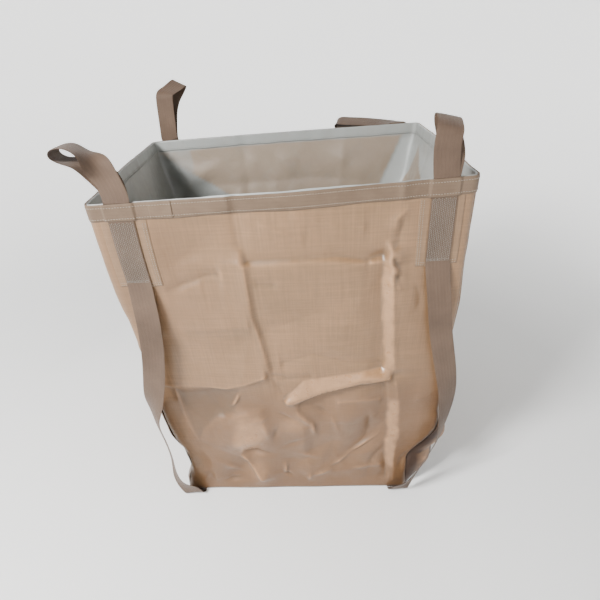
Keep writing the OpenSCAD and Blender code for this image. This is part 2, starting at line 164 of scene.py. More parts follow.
def ridge(X, Z, pts, amp, w, e=4.0, taper=True):
    d, sg, t = seg_dist(X, Z, pts)
    h = amp * np.exp(-soft(d, e) / w)
    if taper:
        h = h * np.clip(4 * t + .25, 0, 1) * np.clip(4 * (1 - t) + .25, 0, 1)
    return h


def step(X, Z, pts, amp, w, reach=220.0):
    """One side of the line stands proud and runs out with distance."""
    d, sg, t = seg_dist(X, Z, pts)
    return amp * np.tanh(d * sg / w) * np.exp(-d / reach) * np.clip(5 * t + .2, 0, 1) * np.clip(5 * (1 - t) + .2, 0, 1)


def crumple(X, Z, seed, n, box, size, slope, sharp=3.0):
    """Paper-like crumple: short sharp folds, each with its own place, direction and reach."""
    r = np.random.RandomState(seed)
    out = np.zeros(X.shape)
    for i in range(n):
        x = r.uniform(box[0], box[1])
        z = r.uniform(box[2], box[3])
        th = r.uniform(0, np.pi)
        sz = size * r.uniform(.55, 1.5)
        a = slope * r.uniform(.4, 1.0) * r.choice([-1, 1])
        dx, dz = X - x, Z - z
        near = (np.abs(dx) < 2.6 * sz) & (np.abs(dz) < 2.6 * sz)
        if not near.any():
            continue
        dx, dz = dx[near], dz[near]
        p = dx * np.cos(th) + dz * np.sin(th)
        q = -dx * np.sin(th) + dz * np.cos(th)
        w = np.exp(-(p * p) / (2 * (sz * .55) ** 2) - (q * q) / (2 * sz ** 2))
        out[near] += a * (sz * .55 - soft(np.abs(p), sharp)) * w
    return out


def lowwave(X, Z, seed, n, amp, lmin, lmax):
    r = np.random.RandomState(seed)
    out = np.zeros(X.shape)
    for i in range(n):
        L = r.uniform(lmin, lmax)
        th = r.uniform(0, np.pi)
        out += amp / math.sqrt(n) * np.sin(2 * np.pi * (X * np.cos(th) + Z * np.sin(th)) / L + r.uniform(0, 6.28))
    return out


def fade(x, a, b):
    t = np.clip((x - a) / (b - a), 0, 1)
    return t * t * (3 - 2 * t)


def along_x(X, pts):
    p = np.array(pts, float)
    return np.interp(X, p[:, 0], p[:, 1]), fade(X, p[0, 0], p[0, 0] + 18) * (1 - fade(X, p[-1, 0] - 18, p[-1, 0]))


def along_z(Z, pts):
    p = np.array(pts, float)
    p = p[np.argsort(p[:, 1])]
    return np.interp(Z, p[:, 1], p[:, 0]), fade(Z, p[0, 1] - 4, p[0, 1] + 30) * (1 - fade(Z, p[-1, 1] - 30, p[-1, 1] + 4))


def shelf(X, Z, top, bot, amp, drop):
    """A facet that leans out from its top line to its bottom line, then falls back below it."""
    zt, g = along_x(X, top)
    zb, _ = along_x(X, bot)
    w = np.maximum(zt - zb, 2.0)
    t = np.clip((zt - Z) / w, 0, 1)
    return amp * g * np.where(Z > zb, t, np.exp(-np.maximum(zb - Z, 0) / drop))


def crease_h(X, Z, pts, amp, up, down):
    """Crest along a level line: leans out above over 'up' mm, falls back below over 'down' mm."""
    z0, g = along_x(X, pts)
    d = Z - z0
    return amp * g * np.where(d > 0, np.exp(-soft(d, 2.0) / up), np.exp(-soft(d, 2.0) / down))


def crease_v(X, Z, pts, amp, left, right):
    """Crest along an upright line, with its own run-out on each side."""
    x0, g = along_z(Z, pts)
    d = X - x0
    return amp * g * np.where(d < 0, np.exp(-soft(d, 2.0) / left), np.exp(-soft(d, 2.0) / right))


def pillow(X, Z, x, z, rx, rz, th, amp, p=2.0):
    a, b = (X - x) * math.cos(th) + (Z - z) * math.sin(th), -(X - x) * math.sin(th) + (Z - z) * math.cos(th)
    return amp * np.exp(-((np.abs(a) / rx) ** p + (np.abs(b) / rz) ** p))


def front_folds(X, Z):
    o = np.zeros(X.shape)
    # upright storage crease, with a narrow lit band on its left flank
    U1 = [(-146, 1190), (-136, 1100), (-132, 1021), (-126, 966), (-126, 787), (-116, 735), (-101, 640), (-98, 567)]
    o += crease_v(X, Z, [p for p in U1 if p[1] <= 1021], 6.5, 26, 12) - crease_v(X, Z, [(p[0] + 16, p[1]) for p in U1], 4.0, 14, 70)
    o += crease_v(X, Z, [p for p in U1 if p[1] >= 966], -6.0, 34, 14)
    o -= crease_v(X, Z, [(-98, 567), (-70, 500), (-52, 456)], 3.0, 24, 24)
    # right upright crease: dark hollow, then a bright rising strip up to a sharp crest
    U5 = [(300, 1000), (298, 952), (303, 930), (311, 827), (322, 720), (330, 651), (335, 546)]
    o += crease_v(X, Z, U5, 11.0, 12, 60) - crease_v(X, Z, [(276, 1000), (278, 931), (276, 880), (277, 829), (283, 758), (293, 690), (296, 606), (290, 546)], 7.0, 46, 9)
    o += crease_v(X, Z, [(461, 12), (457, 95), (440, 157), (388, 234), (362, 310), (357, 373), (352, 429), (338, 535)], 12.0, 16, 46)
    o -= crease_v(X, Z, [(424, 26), (420, 106), (396, 158), (340, 236), (318, 312), (315, 375), (312, 425), (300, 520)], 6.5, 46, 10)
    # the kinks it leaves in the bound rim
    o += crease_v(X, Z, [(-152, 1210), (-140, 1110)], 9.0, 34, 7) + crease_v(X, Z, [(318, 1210), (322, 1120)], 7.0, 9, 26)
    # level creases of the upper half
    o -= crease_h(X, Z, [(-135, 972), (-80, 976), (-22, 978), (88, 981), (143, 981), (235, 962), (298, 976)], 6.0, 34, 12)
    o += crease_h(X, Z, [(-135, 962), (-22, 966), (88, 969), (235, 950)], 2.6, 10, 60)
    o += shelf(X, Z, [(226, 962), (262, 972), (300, 984)], [(226, 954), (262, 952), (300, 950)], 4.5, 12)
    o -= crease_h(X, Z, [(298, 949), (374, 934), (414, 938), (520, 944)], 7.0, 12, 30)
    o -= crease_h(X, Z, [(-430, 866), (-393, 875), (-353, 891), (-246, 931), (-190, 940)], 7.5, 22, 38)
    o += crease_h(X, Z, [(-430, 846), (-353, 866), (-246, 915)], 2.5, 18, 46)
    o += crease_h(X, Z, [(-440, 742), (-411, 747), (-232, 756), (-125, 758)], 4.5, 60, 26)
    o -= crease_h(X, Z, [(-106, 905), (-30, 899)], 2.6, 10, 14)
    o += crease_h(X, Z, [(-77, 1087), (25, 1043), (60, 1038)], 2.6, 16, 24)
    o += crease_h(X, Z, [(10, 1120), (140, 1070), (230, 1062)], 3.0, 40, 30)
    o += pillow(X, Z, 358, 842, 26, 58, 0, 7.0, 2.6) - crease_v(X, Z, [(372, 893), (395, 821), (390, 780)], 4.5, 10, 16)
    for x, z, a in ((292, 1002, 5.0), (306, 962, -5.0), (312, 930, 6.5), (322, 905, -5.0), (300, 890, 4.5), (326, 872, 3.5)):
        o += pillow(X, Z, x, z, 8, 15, .4, a, 1.6)
    o += crease_v(X, Z, [(351, 1125), (325, 1100), (303, 1080), (303, 1040)], 5.0, 14, 26) - crease_v(X, Z, [(330, 1090), (318, 1030), (316, 990)], 5.0, 12, 30)
    # fold across the middle: lit above, shaded below
    L1 = [(-520, 520), (-469, 523), (-253, 522), (-183, 541), (-98, 567)]
    o += crease_h(X, Z, L1, 10.0, 30, 12)
    o -= crease_h(X, Z, [(-98, 567), (-35, 544), (60, 552)], 4.0, 20, 14)
    o -= crease_h(X, Z, [(-60, 602), (60, 640), (180, 600), (300, 590)], 4.5, 40, 26)
    # bright facet and the shaded band under it
    o += shelf(X, Z, [(-64, 462), (-51, 470), (17, 536), (238, 570), (303, 572), (334, 560)], [(-64, 454), (-33, 452), (80, 495), (217, 533), (332, 536)], 17.0, 9)
    o -= crease_h(X, Z, [(-20, 430), (80, 472), (217, 506), (310, 512)], 5.0, 8, 34)
    o += crease_h(X, Z, [(120, 436), (220, 452), (300, 440)], 4.0, 10, 22)
    # left flap: flat shaded panel between its fold lines
    o += crease_v(X, Z, [(-443, 515), (-437, 379), (-427, 246)], 6.0, 18, 9)
    o -= pillow(X, Z, -350, 430, 90, 62, .35, 6.0, 3.0)
    o += crease_v(X, Z, [(-214, 500), (-226, 470), (-256, 423)], 5.5, 8, 5)
    # glossy swelling low in the middle, with its curved upper edge
    d, sg, t = seg_dist(X, Z, [(-427, 246), (-400, 292), (-374, 329), (-320, 372), (-261, 395), (-200, 412), (-120, 424)])
    side = 1 / (1 + np.exp(-np.clip(d * sg, -200, 200) / 7.0))
    o += (8.0 * side * np.exp(-d / 150) - 3.0 * np.exp(-d / 16) * (1 - side)) * fade(t, 0, .1) * (1 - fade(t, .9, 1))
    o += pillow(X, Z, -225, 300, 84, 96, -.3, 12.0, 2.4)
    o -= pillow(X, Z, -205, 196, 62, 13, -.12, 9.0, 2.0)
    o += pillow(X, Z, -255, 205, 16, 14, 0, 6.0, 2.0)
    o += crease_v(X, Z, [(-272, 186), (-252, 160), (-225, 123), (-185, 80), (-154, 40)], 11.0, 10, 34)
    for x, z, rx, rz, th, a in ((-170, 372, 34, 11, .3, 5), (-150, 330, 11, 34, .2, 5), (-110, 300, 10, 30, -.3, -4), (5, 372, 36, 11, -.9, 7), (36, 322, 9, 26, .2, 6),
                                (75, 400, 30, 10, -.6, -4), (120, 330, 12, 44, .3, 3.5), (-60, 380, 30, 10, -.5, -4), (258, 212, 44, 7, .85, 6), (190, 140, 40, 8, .6, 4),
                                (250, 330, 12, 50, .1, -4), (-40, 250, 40, 12, .5, -3.5), (40, 180, 46, 12, -.3, 4), (-60, 110, 10, 26, .2, 6), (-44, 76, 22, 7, -.5, -5),
                                (120, 84, 36, 9, .3, 5), (60, 60, 10, 20, 0, 4), (-330, 120, 60, 12, -.5, 5), (-390, 70, 12, 30, .3, 4), (-300, 48, 40, 8, .1, -4), (330, 110, 60, 9, .05, 5)):
        o += pillow(X, Z, x, z, rx, rz, th, a, 1.7)
    o += crease_h(X, Z, [(406, 432), (485, 464), (524, 470)], 3.0, 8, 10)
    o -= crease_v(X, Z, [(500, 230), (490, 130), (500, 40)], 6.0, 22, 20)
    return o


def side_x(s, k):
    """Millimetres along side k from its middle, on the front side about the true x."""
    return (s - k - .5) * 1050.0


def disp(s, z):
    """How far the standing cloth is pushed out (mm) by folds, creases and slack."""
    s, z = np.broadcast_arrays(np.mod(np.asarray(s, float), 4), np.asarray(z, float))
    s = s.copy()
    z = z.copy()
    S = s * 1060.0
    k = np.floor(s).astype(int) % 4
    u = s - np.floor(s)
    h = side_h(s)
    top = fade(h - z, 0, 240)
    low = 1 - fade(z, 330, 760)
    out = np.zeros(s.shape)
    # slack that grows downwards; the front keeps mostly its own measured folds
    calm_front = np.where(k == 0, .45, 1.0)
    for wrap in (0, -4240, 4240):
        Sw = S + wrap
        out += crumple(Sw, z, 11, 120, (0, 4240, 0, 560), 95, .30) * (low * .8 + .2) * calm_front
        out += crumple(Sw, z, 12, 170, (0, 4240, 0, 440), 46, .34, 2.0) * low * calm_front
        out += crumple(Sw, z, 13, 90, (0, 4240, 250, 1150), 150, .10, 3.0) * (.35 + .65 * top)
    out += lowwave(S, z, 5, 7, 3.2, 260, 620) * (.3 + .7 * top)
    # fold grid left by storage, each side a little different
    for c in range(4):
        m = k == c
        if not m.any():
            continue
        X = side_x(s[m], c)
        Z = z[m]
        if c == 0:
            o = 1.7 * front_folds(X, Z)
        else:
            x1, x2 = (-150, 215) if c != 2 else (-230, 170)
            o = ridge(X, Z, [(x1 - 8, 1190), (x1, 900), (x1 + 26, 540)], -5.0, 22, 4, False)
            o += ridge(X, Z, [(x1 + 26, 540), (x1 + 10, 240), (x1 - 10, 20)], 6.0, 24, 4)
            o += ridge(X, Z, [(x2, 1190), (x2 + 14, 820), (x2 - 12, 520), (x2 + 20, 60)], 7.5, 28, 5, False)
            o += ridge(X, Z, [(-480, 935), (-120, 965), (260, 950), (480, 940)], 5.0, 24, 5)
            o += ridge(X, Z, [(-440, 545), (-100, 520), (180, 560), (440, 530)], -6.0, 24, 4)
            o += ridge(X, Z, [(-300, 470), (-60, 330), (160, 200)], 7.0, 24, 3)
            o += ridge(X, Z, [(330, 460), (150, 330), (-40, 160)], -6.0, 22, 3)
        edge = fade(u[m], .0, .10) * fade(1 - u[m], .0, .10)
        out[m] += o * (.12 + .88 * edge) * (.45 + .55 * fade(h[m] - Z, 0, 120))
    # quiet under the sewn webbing, so nothing pokes through it
    near = np.min([np.abs((s - p + 2) % 4 - 2) for p in STRAPS], axis=0)
    calm = (1 - fade(near, .055, .12)) * (1 - fade(h - z, 250, 420))
    out *= 1 - .9 * calm
    # nothing swells past the hanging straps, and the foot stays on its seam
    hang = (1 - fade(near, .07, .16)) * fade(h - z, 240, 420)
    out = np.where(out > 0, out * (1 - .6 * hang), out)
    foot = fade(z, 4, 60)
    out = out * (.25 + .75 * foot)
    lim = 26.0
    out = np.where(out > lim * .5, lim * .5 + lim * .5 * np.tanh((out - lim * .5) / (lim * .5)), out)
    # the right side sags out round its front foot, past the corner
    sag = np.interp(z, [0, 20, 60, 111, 150, 190, 225, 260, 310, 400], [0, 14, 48, 72, 82, 82, 70, 46, 18, 0])
    out = out + np.where(k == 1, 1.08 * sag * fade(u, .0, .034) * (1 - fade(u, .14, .5)), 0)
    return out


def wall(s, z, o=0.0, use_disp=True):
    s, z = np.broadcast_arrays(np.asarray(s, float), np.asarray(z, float))
    h = side_h(s)
    v = np.clip(z / h, 0, 1.0)
    p, n = outline(s, v)
    d = disp(s, np.minimum(z, h)) if use_disp else 0.0
    q = p + n * (np.asarray(o, float) + d)[..., None]
    return np.concatenate([q, z[..., None]], -1)


# ------------------------------------------------------------------ mesh helpers
COLL = bpy.context.scene.collection


def make(name, verts, faces, uv=None, attrs=None, smooth=True, scale=.001):
    me = bpy.data.meshes.new(name)
    v = np.asarray(verts, float).reshape(-1, 3) * scale
    f = np.asarray(faces, int)
    me.vertices.add(len(v))
    me.vertices.foreach_set("co", v.astype(np.float32).ravel())
    me.loops.add(f.size)
    me.loops.foreach_set("vertex_index", f.ravel().astype(np.int32))
    me.polygons.add(len(f))
    me.polygons.foreach_set("loop_start", (np.arange(len(f)) * f.shape[1]).astype(np.int32))
    me.polygons.foreach_set("loop_total", np.full(len(f), f.shape[1], np.int32))
    me.polygons.foreach_set("use_smooth", np.full(len(f), smooth))
    me.update(calc_edges=True)
    if uv is not None:
        l = me.uv_layers.new(name="cloth")
        u = np.asarray(uv, float).reshape(-1, 2)[f.ravel()]
        l.data.foreach_set("uv", u.astype(np.float32).ravel())
    for key, val in (attrs or {}).items():
        a = me.attributes.new(key, "FLOAT", "POINT")
        a.data.foreach_set("value", np.asarray(val, float).ravel().astype(np.float32))
    me.validate()
    me.update()
    o = bpy.data.objects.new(name, me)
    COLL.objects.link(o)
    return o


def grid_faces(n, m, off=0, closed=False, flip=False):
    i, j = np.meshgrid(np.arange(n if closed else n - 1), np.arange(m - 1), indexing="ij")
    i, j = i.ravel(), j.ravel()
    i2 = (i + 1) % n
    a, b, c, d = j * n + i, j * n + i2, (j + 1) * n + i2, (j + 1) * n + i
    q = np.stack([a, b, c, d], 1) + off
    return q[:, ::-1] if flip else q


def shell_mesh(name, A, B, uv, closed=False, attrs=None):
    """A inner and B outer grids, m rows by n columns by 3, joined into one thin closed shell."""
    m, n = A.shape[:2]
    q = n * m
    f = [grid_faces(n, m, 0, closed, True), grid_faces(n, m, q, closed, False)]

    def side(idx):
        idx = np.asarray(idx)
        return np.stack([idx[:-1], idx[1:], idx[1:] + q, idx[:-1] + q], 1)
    bot = np.arange(n)
    topr = np.arange(n) + (m - 1) * n
    if closed:
        bot = np.append(bot, 0)
        topr = np.append(topr, (m - 1) * n)
    f.append(side(bot))
    f.append(side(topr)[:, ::-1])
    if not closed:
        f.append(side(np.arange(m) * n)[:, ::-1])
        f.append(side(np.arange(m) * n + n - 1))
    V = np.concatenate([A.reshape(-1, 3), B.reshape(-1, 3)])
    UV = np.concatenate([uv.reshape(-1, 2)] * 2)
    at = {k: np.concatenate([v.ravel(), v.ravel()]) for k, v in (attrs or {}).items()}
    return make(name, V, np.concatenate(f), UV, at)


def unit(a):
    return a / np.maximum(np.linalg.norm(a, axis=-1, keepdims=True), 1e-9)


def catmull(P, n):
    P = np.asarray(P, float)
    Q = np.concatenate([P[:1], P, P[-1:]])
    out = []
    for i in range(len(P) - 1):
        a, b, c, d = Q[i], Q[i + 1], Q[i + 2], Q[i + 3]
        for w in np.arange(n) / n:
            out.append(((d - 3 * c + 3 * b - a) * w ** 3 + (2 * a - 5 * b + 4 * c - d) * w * w + (c - a) * w) / 2 + b)
    out.append(P[-1])
    return np.array(out)


def resample(P, W, step_mm):
    L = np.concatenate([[0], np.cumsum(np.linalg.norm(np.diff(P, axis=0), axis=1))])
    n = max(4, int(L[-1] / step_mm))
    t = np.linspace(0, L[-1], n + 1)
    Pn = np.stack([np.interp(t, L, P[:, i]) for i in range(3)], 1)
    Wn = np.stack([np.interp(t, L, W[:, i]) for i in range(3)], 1)
    return Pn, Wn, t


def ribbon(name, P, W, width=WEB_W, thick=WEB_T, across=28, step_mm=6.0, cup=0.0, seed=1, edge=.5, v0=0.0, smoothing=1):
    """Woven webbing swept along P with width directions W: rounded selvedges, low ribs, slight cupping."""
    P, W, t = resample(np.asarray(P, float), np.asarray(W, float), step_mm)
    for _ in range(smoothing):
        P[1:-1] = (P[:-2] + 2 * P[1:-1] + P[2:]) / 4
        W[1:-1] = (W[:-2] + 2 * W[1:-1] + W[2:]) / 4
    T = unit(np.gradient(P, axis=0))
    Wd = unit(W - T * (W * T).sum(-1, keepdims=True))
    N = np.cross(T, Wd)
    a = np.sin(np.linspace(-np.pi / 2, np.pi / 2, across))
    a = np.sign(a) * np.abs(a) ** .8
    half = thick / 2 * np.clip(1 - np.abs(a) ** 14, 0, 1) ** .5
    half = np.maximum(half, .06)
    rib = .10 * np.cos(a * np.pi * 7) * (np.abs(a) < .93)
    r = np.random.RandomState(seed)
    ph = r.uniform(0, 6.28, 6)
    wob = edge * (np.sin(t / 37 + ph[0]) + .6 * np.sin(t / 17 + ph[1]))[:, None] * np.abs(a)[None] ** 3
    cupf = cup * (1 + .5 * np.sin(t / 90 + ph[2]))[:, None] * (a[None] ** 2 - .33)
    wave = edge * .6 * np.sin(t / 60 + ph[3])[:, None] * a[None]
    base = P[:, None] + Wd[:, None] * (a[None, :, None] * width / 2) + Wd[:, None] * (wob * .25 * np.sign(a))[..., None]
    lift = (cupf + wave)[..., None] * N[:, None]
    A = base + lift - N[:, None] * (half + rib)[None, :, None]
    B = base + lift + N[:, None] * (half + rib)[None, :, None]
    uv = np.stack(np.broadcast_arrays((a * width / 2)[None] / 1000, (t[:, None] + v0) / 1000), -1)
    return shell_mesh(name, A, B, uv), (P, Wd, N, t)


def capsules(name, C, D, U, length, rad, lift=0.0, seg=6):
    """Many stitches in one piece: each a short flattened bead at C along D, standing along U."""
    C, D, U = (np.asarray(x, float).reshape(-1, 3) for x in (C, D, U))
    D = unit(D)
    U = unit(U - D * (U * D).sum(-1, keepdims=True))
    S = np.cross(D, U)
    ts = np.array([-1, -.8, -.3, .3, .8, 1])
    rr = np.array([.12, .75, 1, 1, .75, .12])
    hh = np.array([-.6, .1, .6, .6, .1, -.6])
    ang = np.arange(seg) / seg * 2 * np.pi
    V = (C[:, None, None] + D[:, None, None] * (ts * length / 2)[None, :, None, None]
         + U[:, None, None] * (hh * rad)[None, :, None, None]
         + (S[:, None, None] * np.cos(ang)[None, None, :, None] + U[:, None, None] * np.sin(ang)[None, None, :, None] * .8)
         * (rr * rad)[None, :, None, None]) + U[:, None, None] * lift
    n, a = len(C), len(ts)
    base = np.arange(n)[:, None] * a * seg
    i, j = np.meshgrid(np.arange(a - 1), np.arange(seg), indexing="ij")
    i, j = i.ravel(), j.ravel()
    q = np.stack([i * seg + j, i * seg + (j + 1) % seg, (i + 1) * seg + (j + 1) % seg, (i + 1) * seg + j], 1)
    caps = []
    for e, sgn in ((0, -1), (a - 1, 1)):
        r = e * seg + np.arange(seg)
        r = r[::sgn]
        caps += [[r[0], r[1], r[2], r[3]], [r[0], r[3], r[4], r[5]]]
    q = np.concatenate([q, np.array(caps)])
    F = (q[None] + base[:, :, None]).reshape(-1, 4)
    V = V.reshape(-1, 3)
    return make(name, V, F, V[:, :2] / 1000)


# ------------------------------------------------------------------ materials
def lin(c):
    return tuple((x / 12.92 if x <= .04045 else ((x + .055) / 1.055) ** 2.4) for x in c)


class Mat:
    def __init__(self, name):
        self.m = bpy.data.materials.new(name)
        self.m.use_nodes = True
        self.t = self.m.node_tree
        self.b = self.t.nodes.get("Principled BSDF")
        self.l = self.t.links

    def n(self, kind, **kw):
        x = self.t.nodes.new(kind)
        for k, v in kw.items():
            setattr(x, k, v)
        return x

    def put(self, node, key, val):
        if isinstance(val, bpy.types.NodeSocket):
            self.l.new(val, node.inputs[key])
        else:
            node.inputs[key].default_value = val

    def math(self, op, a, b=None, c=None, clamp=False):
        x = self.n("ShaderNodeMath", operation=op, use_clamp=clamp)
        for i, v in enumerate((a, b, c)):
            if v is not None:
                self.put(x, i, v)
        return x.outputs[0]

    def noise(self, vec, scale, detail=4, rough=.55, dist=0.0):
        x = self.n("ShaderNodeTexNoise")
        self.l.new(vec, x.inputs["Vector"])
        x.inputs["Scale"].default_value = scale
        x.inputs["Detail"].default_value = detail
        x.inputs["Roughness"].default_value = rough
        x.inputs["Distortion"].default_value = dist
        return x.outputs["Fac"]

    def wave(self, vec, scale, axis="X", profile="SIN", dist=0.0):
        x = self.n("ShaderNodeTexWave", wave_type="BANDS", bands_direction=axis, wave_profile=profile)
        self.l.new(vec, x.inputs["Vector"])
        x.inputs["Scale"].default_value = scale
        x.inputs["Distortion"].default_value = dist
        return x.outputs["Fac"]

    def vmul(self, vec, v):
        x = self.n("ShaderNodeVectorMath", operation="MULTIPLY")
        self.l.new(vec, x.inputs[0])
        x.inputs[1].default_value = v
        return x.outputs[0]

    def ramp(self, fac, stops):
        x = self.n("ShaderNodeValToRGB")
        self.l.new(fac, x.inputs[0])
        e = x.color_ramp.elements
        while len(e) > 2:
            e.remove(e[0])
        for i, (p, c) in enumerate(stops):
            k = e[i] if i < 2 else e.new(p)
            k.position = p
            k.color = (*c, 1)
        return x.outputs[0]

    def mix(self, fac, a, b, mode="MIX"):
        x = self.n("ShaderNodeMix", data_type="RGBA", blend_type=mode)
        self.put(x, 0, fac)
        for key, v in ((6, a), (7, b)):
            if isinstance(v, tuple):
                v = (*v, 1) if len(v) == 3 else v
            self.put(x, key, v)
        return x.outputs[2]

    def mapr(self, v, a, b, c, d):
        x = self.n("ShaderNodeMapRange", clamp=True)
        for i, val in enumerate((v, a, b, c, d)):
            self.put(x, i, val)
        return x.outputs[0]

    def bump(self, height, strength, dist, normal=None):
        x = self.n("ShaderNodeBump")
        x.inputs["Strength"].default_value = strength
        x.inputs["Distance"].default_value = dist
        self.l.new(height, x.inputs["Height"])
        if normal is not None:
            self.l.new(normal, x.inputs["Normal"])
        return x.outputs[0]

    def uv(self):
        return self.n("ShaderNodeUVMap", uv_map="cloth").outputs[0]

    def obj(self):
        return self.n("ShaderNodeTexCoord").outputs["Object"]

    def attr(self, name):
        return self.n("ShaderNodeAttribute", attribute_name=name).outputs["Fac"]

    def out(self, key, val):
        if key in self.b.inputs:
            self.put(self.b, key, val)


def weave_height(M, uv, pitch, sharp=True):
    """Flat woven tapes: over and under, pitch in metres."""
    sx = math.pi / pitch
    sep = M.n("ShaderNodeSeparateXYZ")
    M.l.new(uv, sep.inputs[0])
    x, y = M.math("MULTIPLY", sep.outputs[0], sx), M.math("MULTIPLY", sep.outputs[1], sx)
    a = M.math("SINE", x)
    b = M.math("SINE", y)
    prod = M.math("MULTIPLY", a, b)
    ax = M.math("ABSOLUTE", a)
    ay = M.math("ABSOLUTE", b)
    edge = M.math("MINIMUM", ax, ay)
    return prod, edge, sep


def mat_fabric(name, base, dark, light, pitch=.0026, rough=.42, sheen=.25, spec=.45, milky=None):
    M = Mat(name)
    uv, ob = M.uv(), M.obj()
    prod, edge, sep = weave_height(M, uv, pitch)
    streak_u = M.noise(M.vmul(uv, (190.0, 5.0, 1)), 1.0, 4, .75)
    streak_v = M.noise(M.vmul(uv, (5.0, 190.0, 1)), 1.0, 4, .75)
    cloud = M.noise(ob, 3.2, 5, .6, .3)
    cloud2 = M.noise(ob, 17.0, 4, .6, .4)
    col = M.ramp(cloud, [(.28, lin(dark)), (.72, lin(light))])
    col = M.mix(.45, col, M.mix(cloud2, lin(base), lin(light)))
    st = M.math("ADD", M.math("MULTIPLY", streak_u, .5), M.math("MULTIPLY", streak_v, .5))
    col = M.mix(M.mapr(st, .41, .59, .0, .55), col, lin([v * .88 for v in dark]))
    wv = M.mapr(prod, -1, 1, .93, 1.05)
    comb = M.n("ShaderNodeCombineColor")
    for i in range(3):
        M.l.new(wv, comb.inputs[i])
    col = M.mix(1.0, col, comb.outputs[0], "MULTIPLY")
    seam = M.mapr(edge, .0, .22, .88, 1.0)
    comb2 = M.n("ShaderNodeCombineColor")
    for i in range(3):
        M.l.new(seam, comb2.inputs[i])
    col = M.mix(1.0, col, comb2.outputs[0], "MULTIPLY")
    # painted light and shade on the cloth: painted shade low down, in the valleys and on the tucked foot, painted
    # highlights on glossy patches and along the crests
    # noise that breaks up the painted highlights
    highlight_noise = M.noise(ob, 34.0, 4, .7, .2)
    # painted shade: darker towards the bottom, on the left flap, the upper left, the right edge and the lower right
    col = M.mix(M.math("MULTIPLY", M.attr("painted_shade"), M.mapr(cloud, .25, .75, .85, .45)), col, lin((dark[0] * .84, dark[1] * .74, dark[2] * .66)))
    # painted shade in the concave valleys and on the left flap
    col = M.mix(M.math("MULTIPLY", M.attr("sink"), .60), col, lin([v * .62 for v in dark]))
    # painted deep shadow on the tucked foot of the right wall, which is also made rougher
    col = M.mix(M.math("MULTIPLY", M.attr("tucked"), M.mapr(cloud2, .3, .7, .85, 1.0)), col, lin((.180, .108, .068)))
    # painted highlight: glossy patches are lightened, and the same mask lowers the roughness
    gloss_and_painted_sheen = M.attr("gloss_and_painted_sheen")
    col = M.mix(M.math("MULTIPLY", gloss_and_painted_sheen, M.mapr(highlight_noise, .3, .7, .34, .70)), col, lin([v * 1.16 for v in light]))
    # painted highlight along the convex crests
    col = M.mix(M.math("MULTIPLY", M.attr("crest"), M.mapr(highlight_noise, .35, .65, .20, .50)), col, lin([min(v * 1.30, 1) for v in light]))
    M.out("Base Color", col)
    rn = M.noise(ob, 26.0, 4, .6)
    rgh = M.math("SUBTRACT", M.mapr(rn, .3, .7, rough - .08, rough + .14), M.math("MULTIPLY", gloss_and_painted_sheen, .12))
    M.out("Roughness", M.math("ADD", rgh, M.math("MULTIPLY", M.attr("tucked"), .35)))
    M.out("Specular IOR Level", spec)
    M.out("Sheen Weight", .06)
    M.out("Sheen Roughness", .5)
    M.out("Coat Weight", .24)
    M.out("Coat Roughness", .36)
    h = M.math("ADD", M.math("MULTIPLY", prod, .5), M.math("MULTIPLY", edge, .6))
    n1 = M.bump(h, .35, .00035)
    fine = M.noise(ob, 60.0, 6, .65, .5)
    n2 = M.bump(fine, .42, .0014, n1)
    mid = M.noise(ob, 14.0, 3, .5, .8)
    n3 = M.bump(mid, .36, .005, n2)
    M.out("Normal", n3)
    return M.m


def mat_webbing(name, base, dark, light, pitch=.0021, rough=.7):
    """Narrow woven webbing: chevron twill between low warp ribs."""
    M = Mat(name)
    uv, ob = M.uv(), M.obj()
    sep = M.n("ShaderNodeSeparateXYZ")
    M.l.new(uv, sep.inputs[0])
    x, y = sep.outputs[0], sep.outputs[1]
    zig = M.math("PINGPONG", x, .005)
    tw = M.math("SINE", M.math("MULTIPLY", M.math("ADD", M.math("MULTIPLY", zig, 1.0), y), 2 * math.pi / pitch))
    rib = M.math("COSINE", M.math("MULTIPLY", x, 2 * math.pi / .010))
    fib = M.noise(M.vmul(uv, (1400.0, 90.0, 1)), 1.0, 3, .6)
    cloud = M.noise(ob, 9.0, 5, .6, .2)
    col = M.ramp(cloud, [(.3, lin(dark)), (.7, lin(light))])
    col = M.mix(.4, col, lin(base))
    col = M.mix(M.mapr(tw, -1, 1, .0, .34), col, M.mix(.6, col, lin(dark)))
    col = M.mix(M.mapr(fib, .35, .65, .0, .25), col, lin(light))
    line = M.mapr(rib, -1, -.6, .93, 1.0)
    comb = M.n("ShaderNodeCombineColor")
    for i in range(3):
        M.l.new(line, comb.inputs[i])
    col = M.mix(1.0, col, comb.outputs[0], "MULTIPLY")
    M.out("Base Color", col)
    M.out("Roughness", M.mapr(fib, .3, .7, rough - .08, rough + .1))
    M.out("Specular IOR Level", .32)
    M.out("Sheen Weight", .10)
    M.out("Sheen Roughness", .45)
    h = M.math("ADD", M.math("MULTIPLY", tw, .5), M.math("MULTIPLY", rib, .5))
    n1 = M.bump(h, .55, .0004)
    n2 = M.bump(fib, .3, .0004, n1)
    M.out("Normal", n2)
    return M.m


def mat_thread(name, base, dark):
    M = Mat(name)
    ob = M.obj()
    tw = M.noise(ob, 900.0, 2, .5)
    col = M.mix(M.mapr(tw, .3, .7, .0, .8), lin(base), lin(dark))
    M.out("Base Color", col)
    M.out("Roughness", .6)
    M.out("Sheen Weight", .3)
    M.out("Normal", M.bump(tw, .5, .0003))
    return M.m


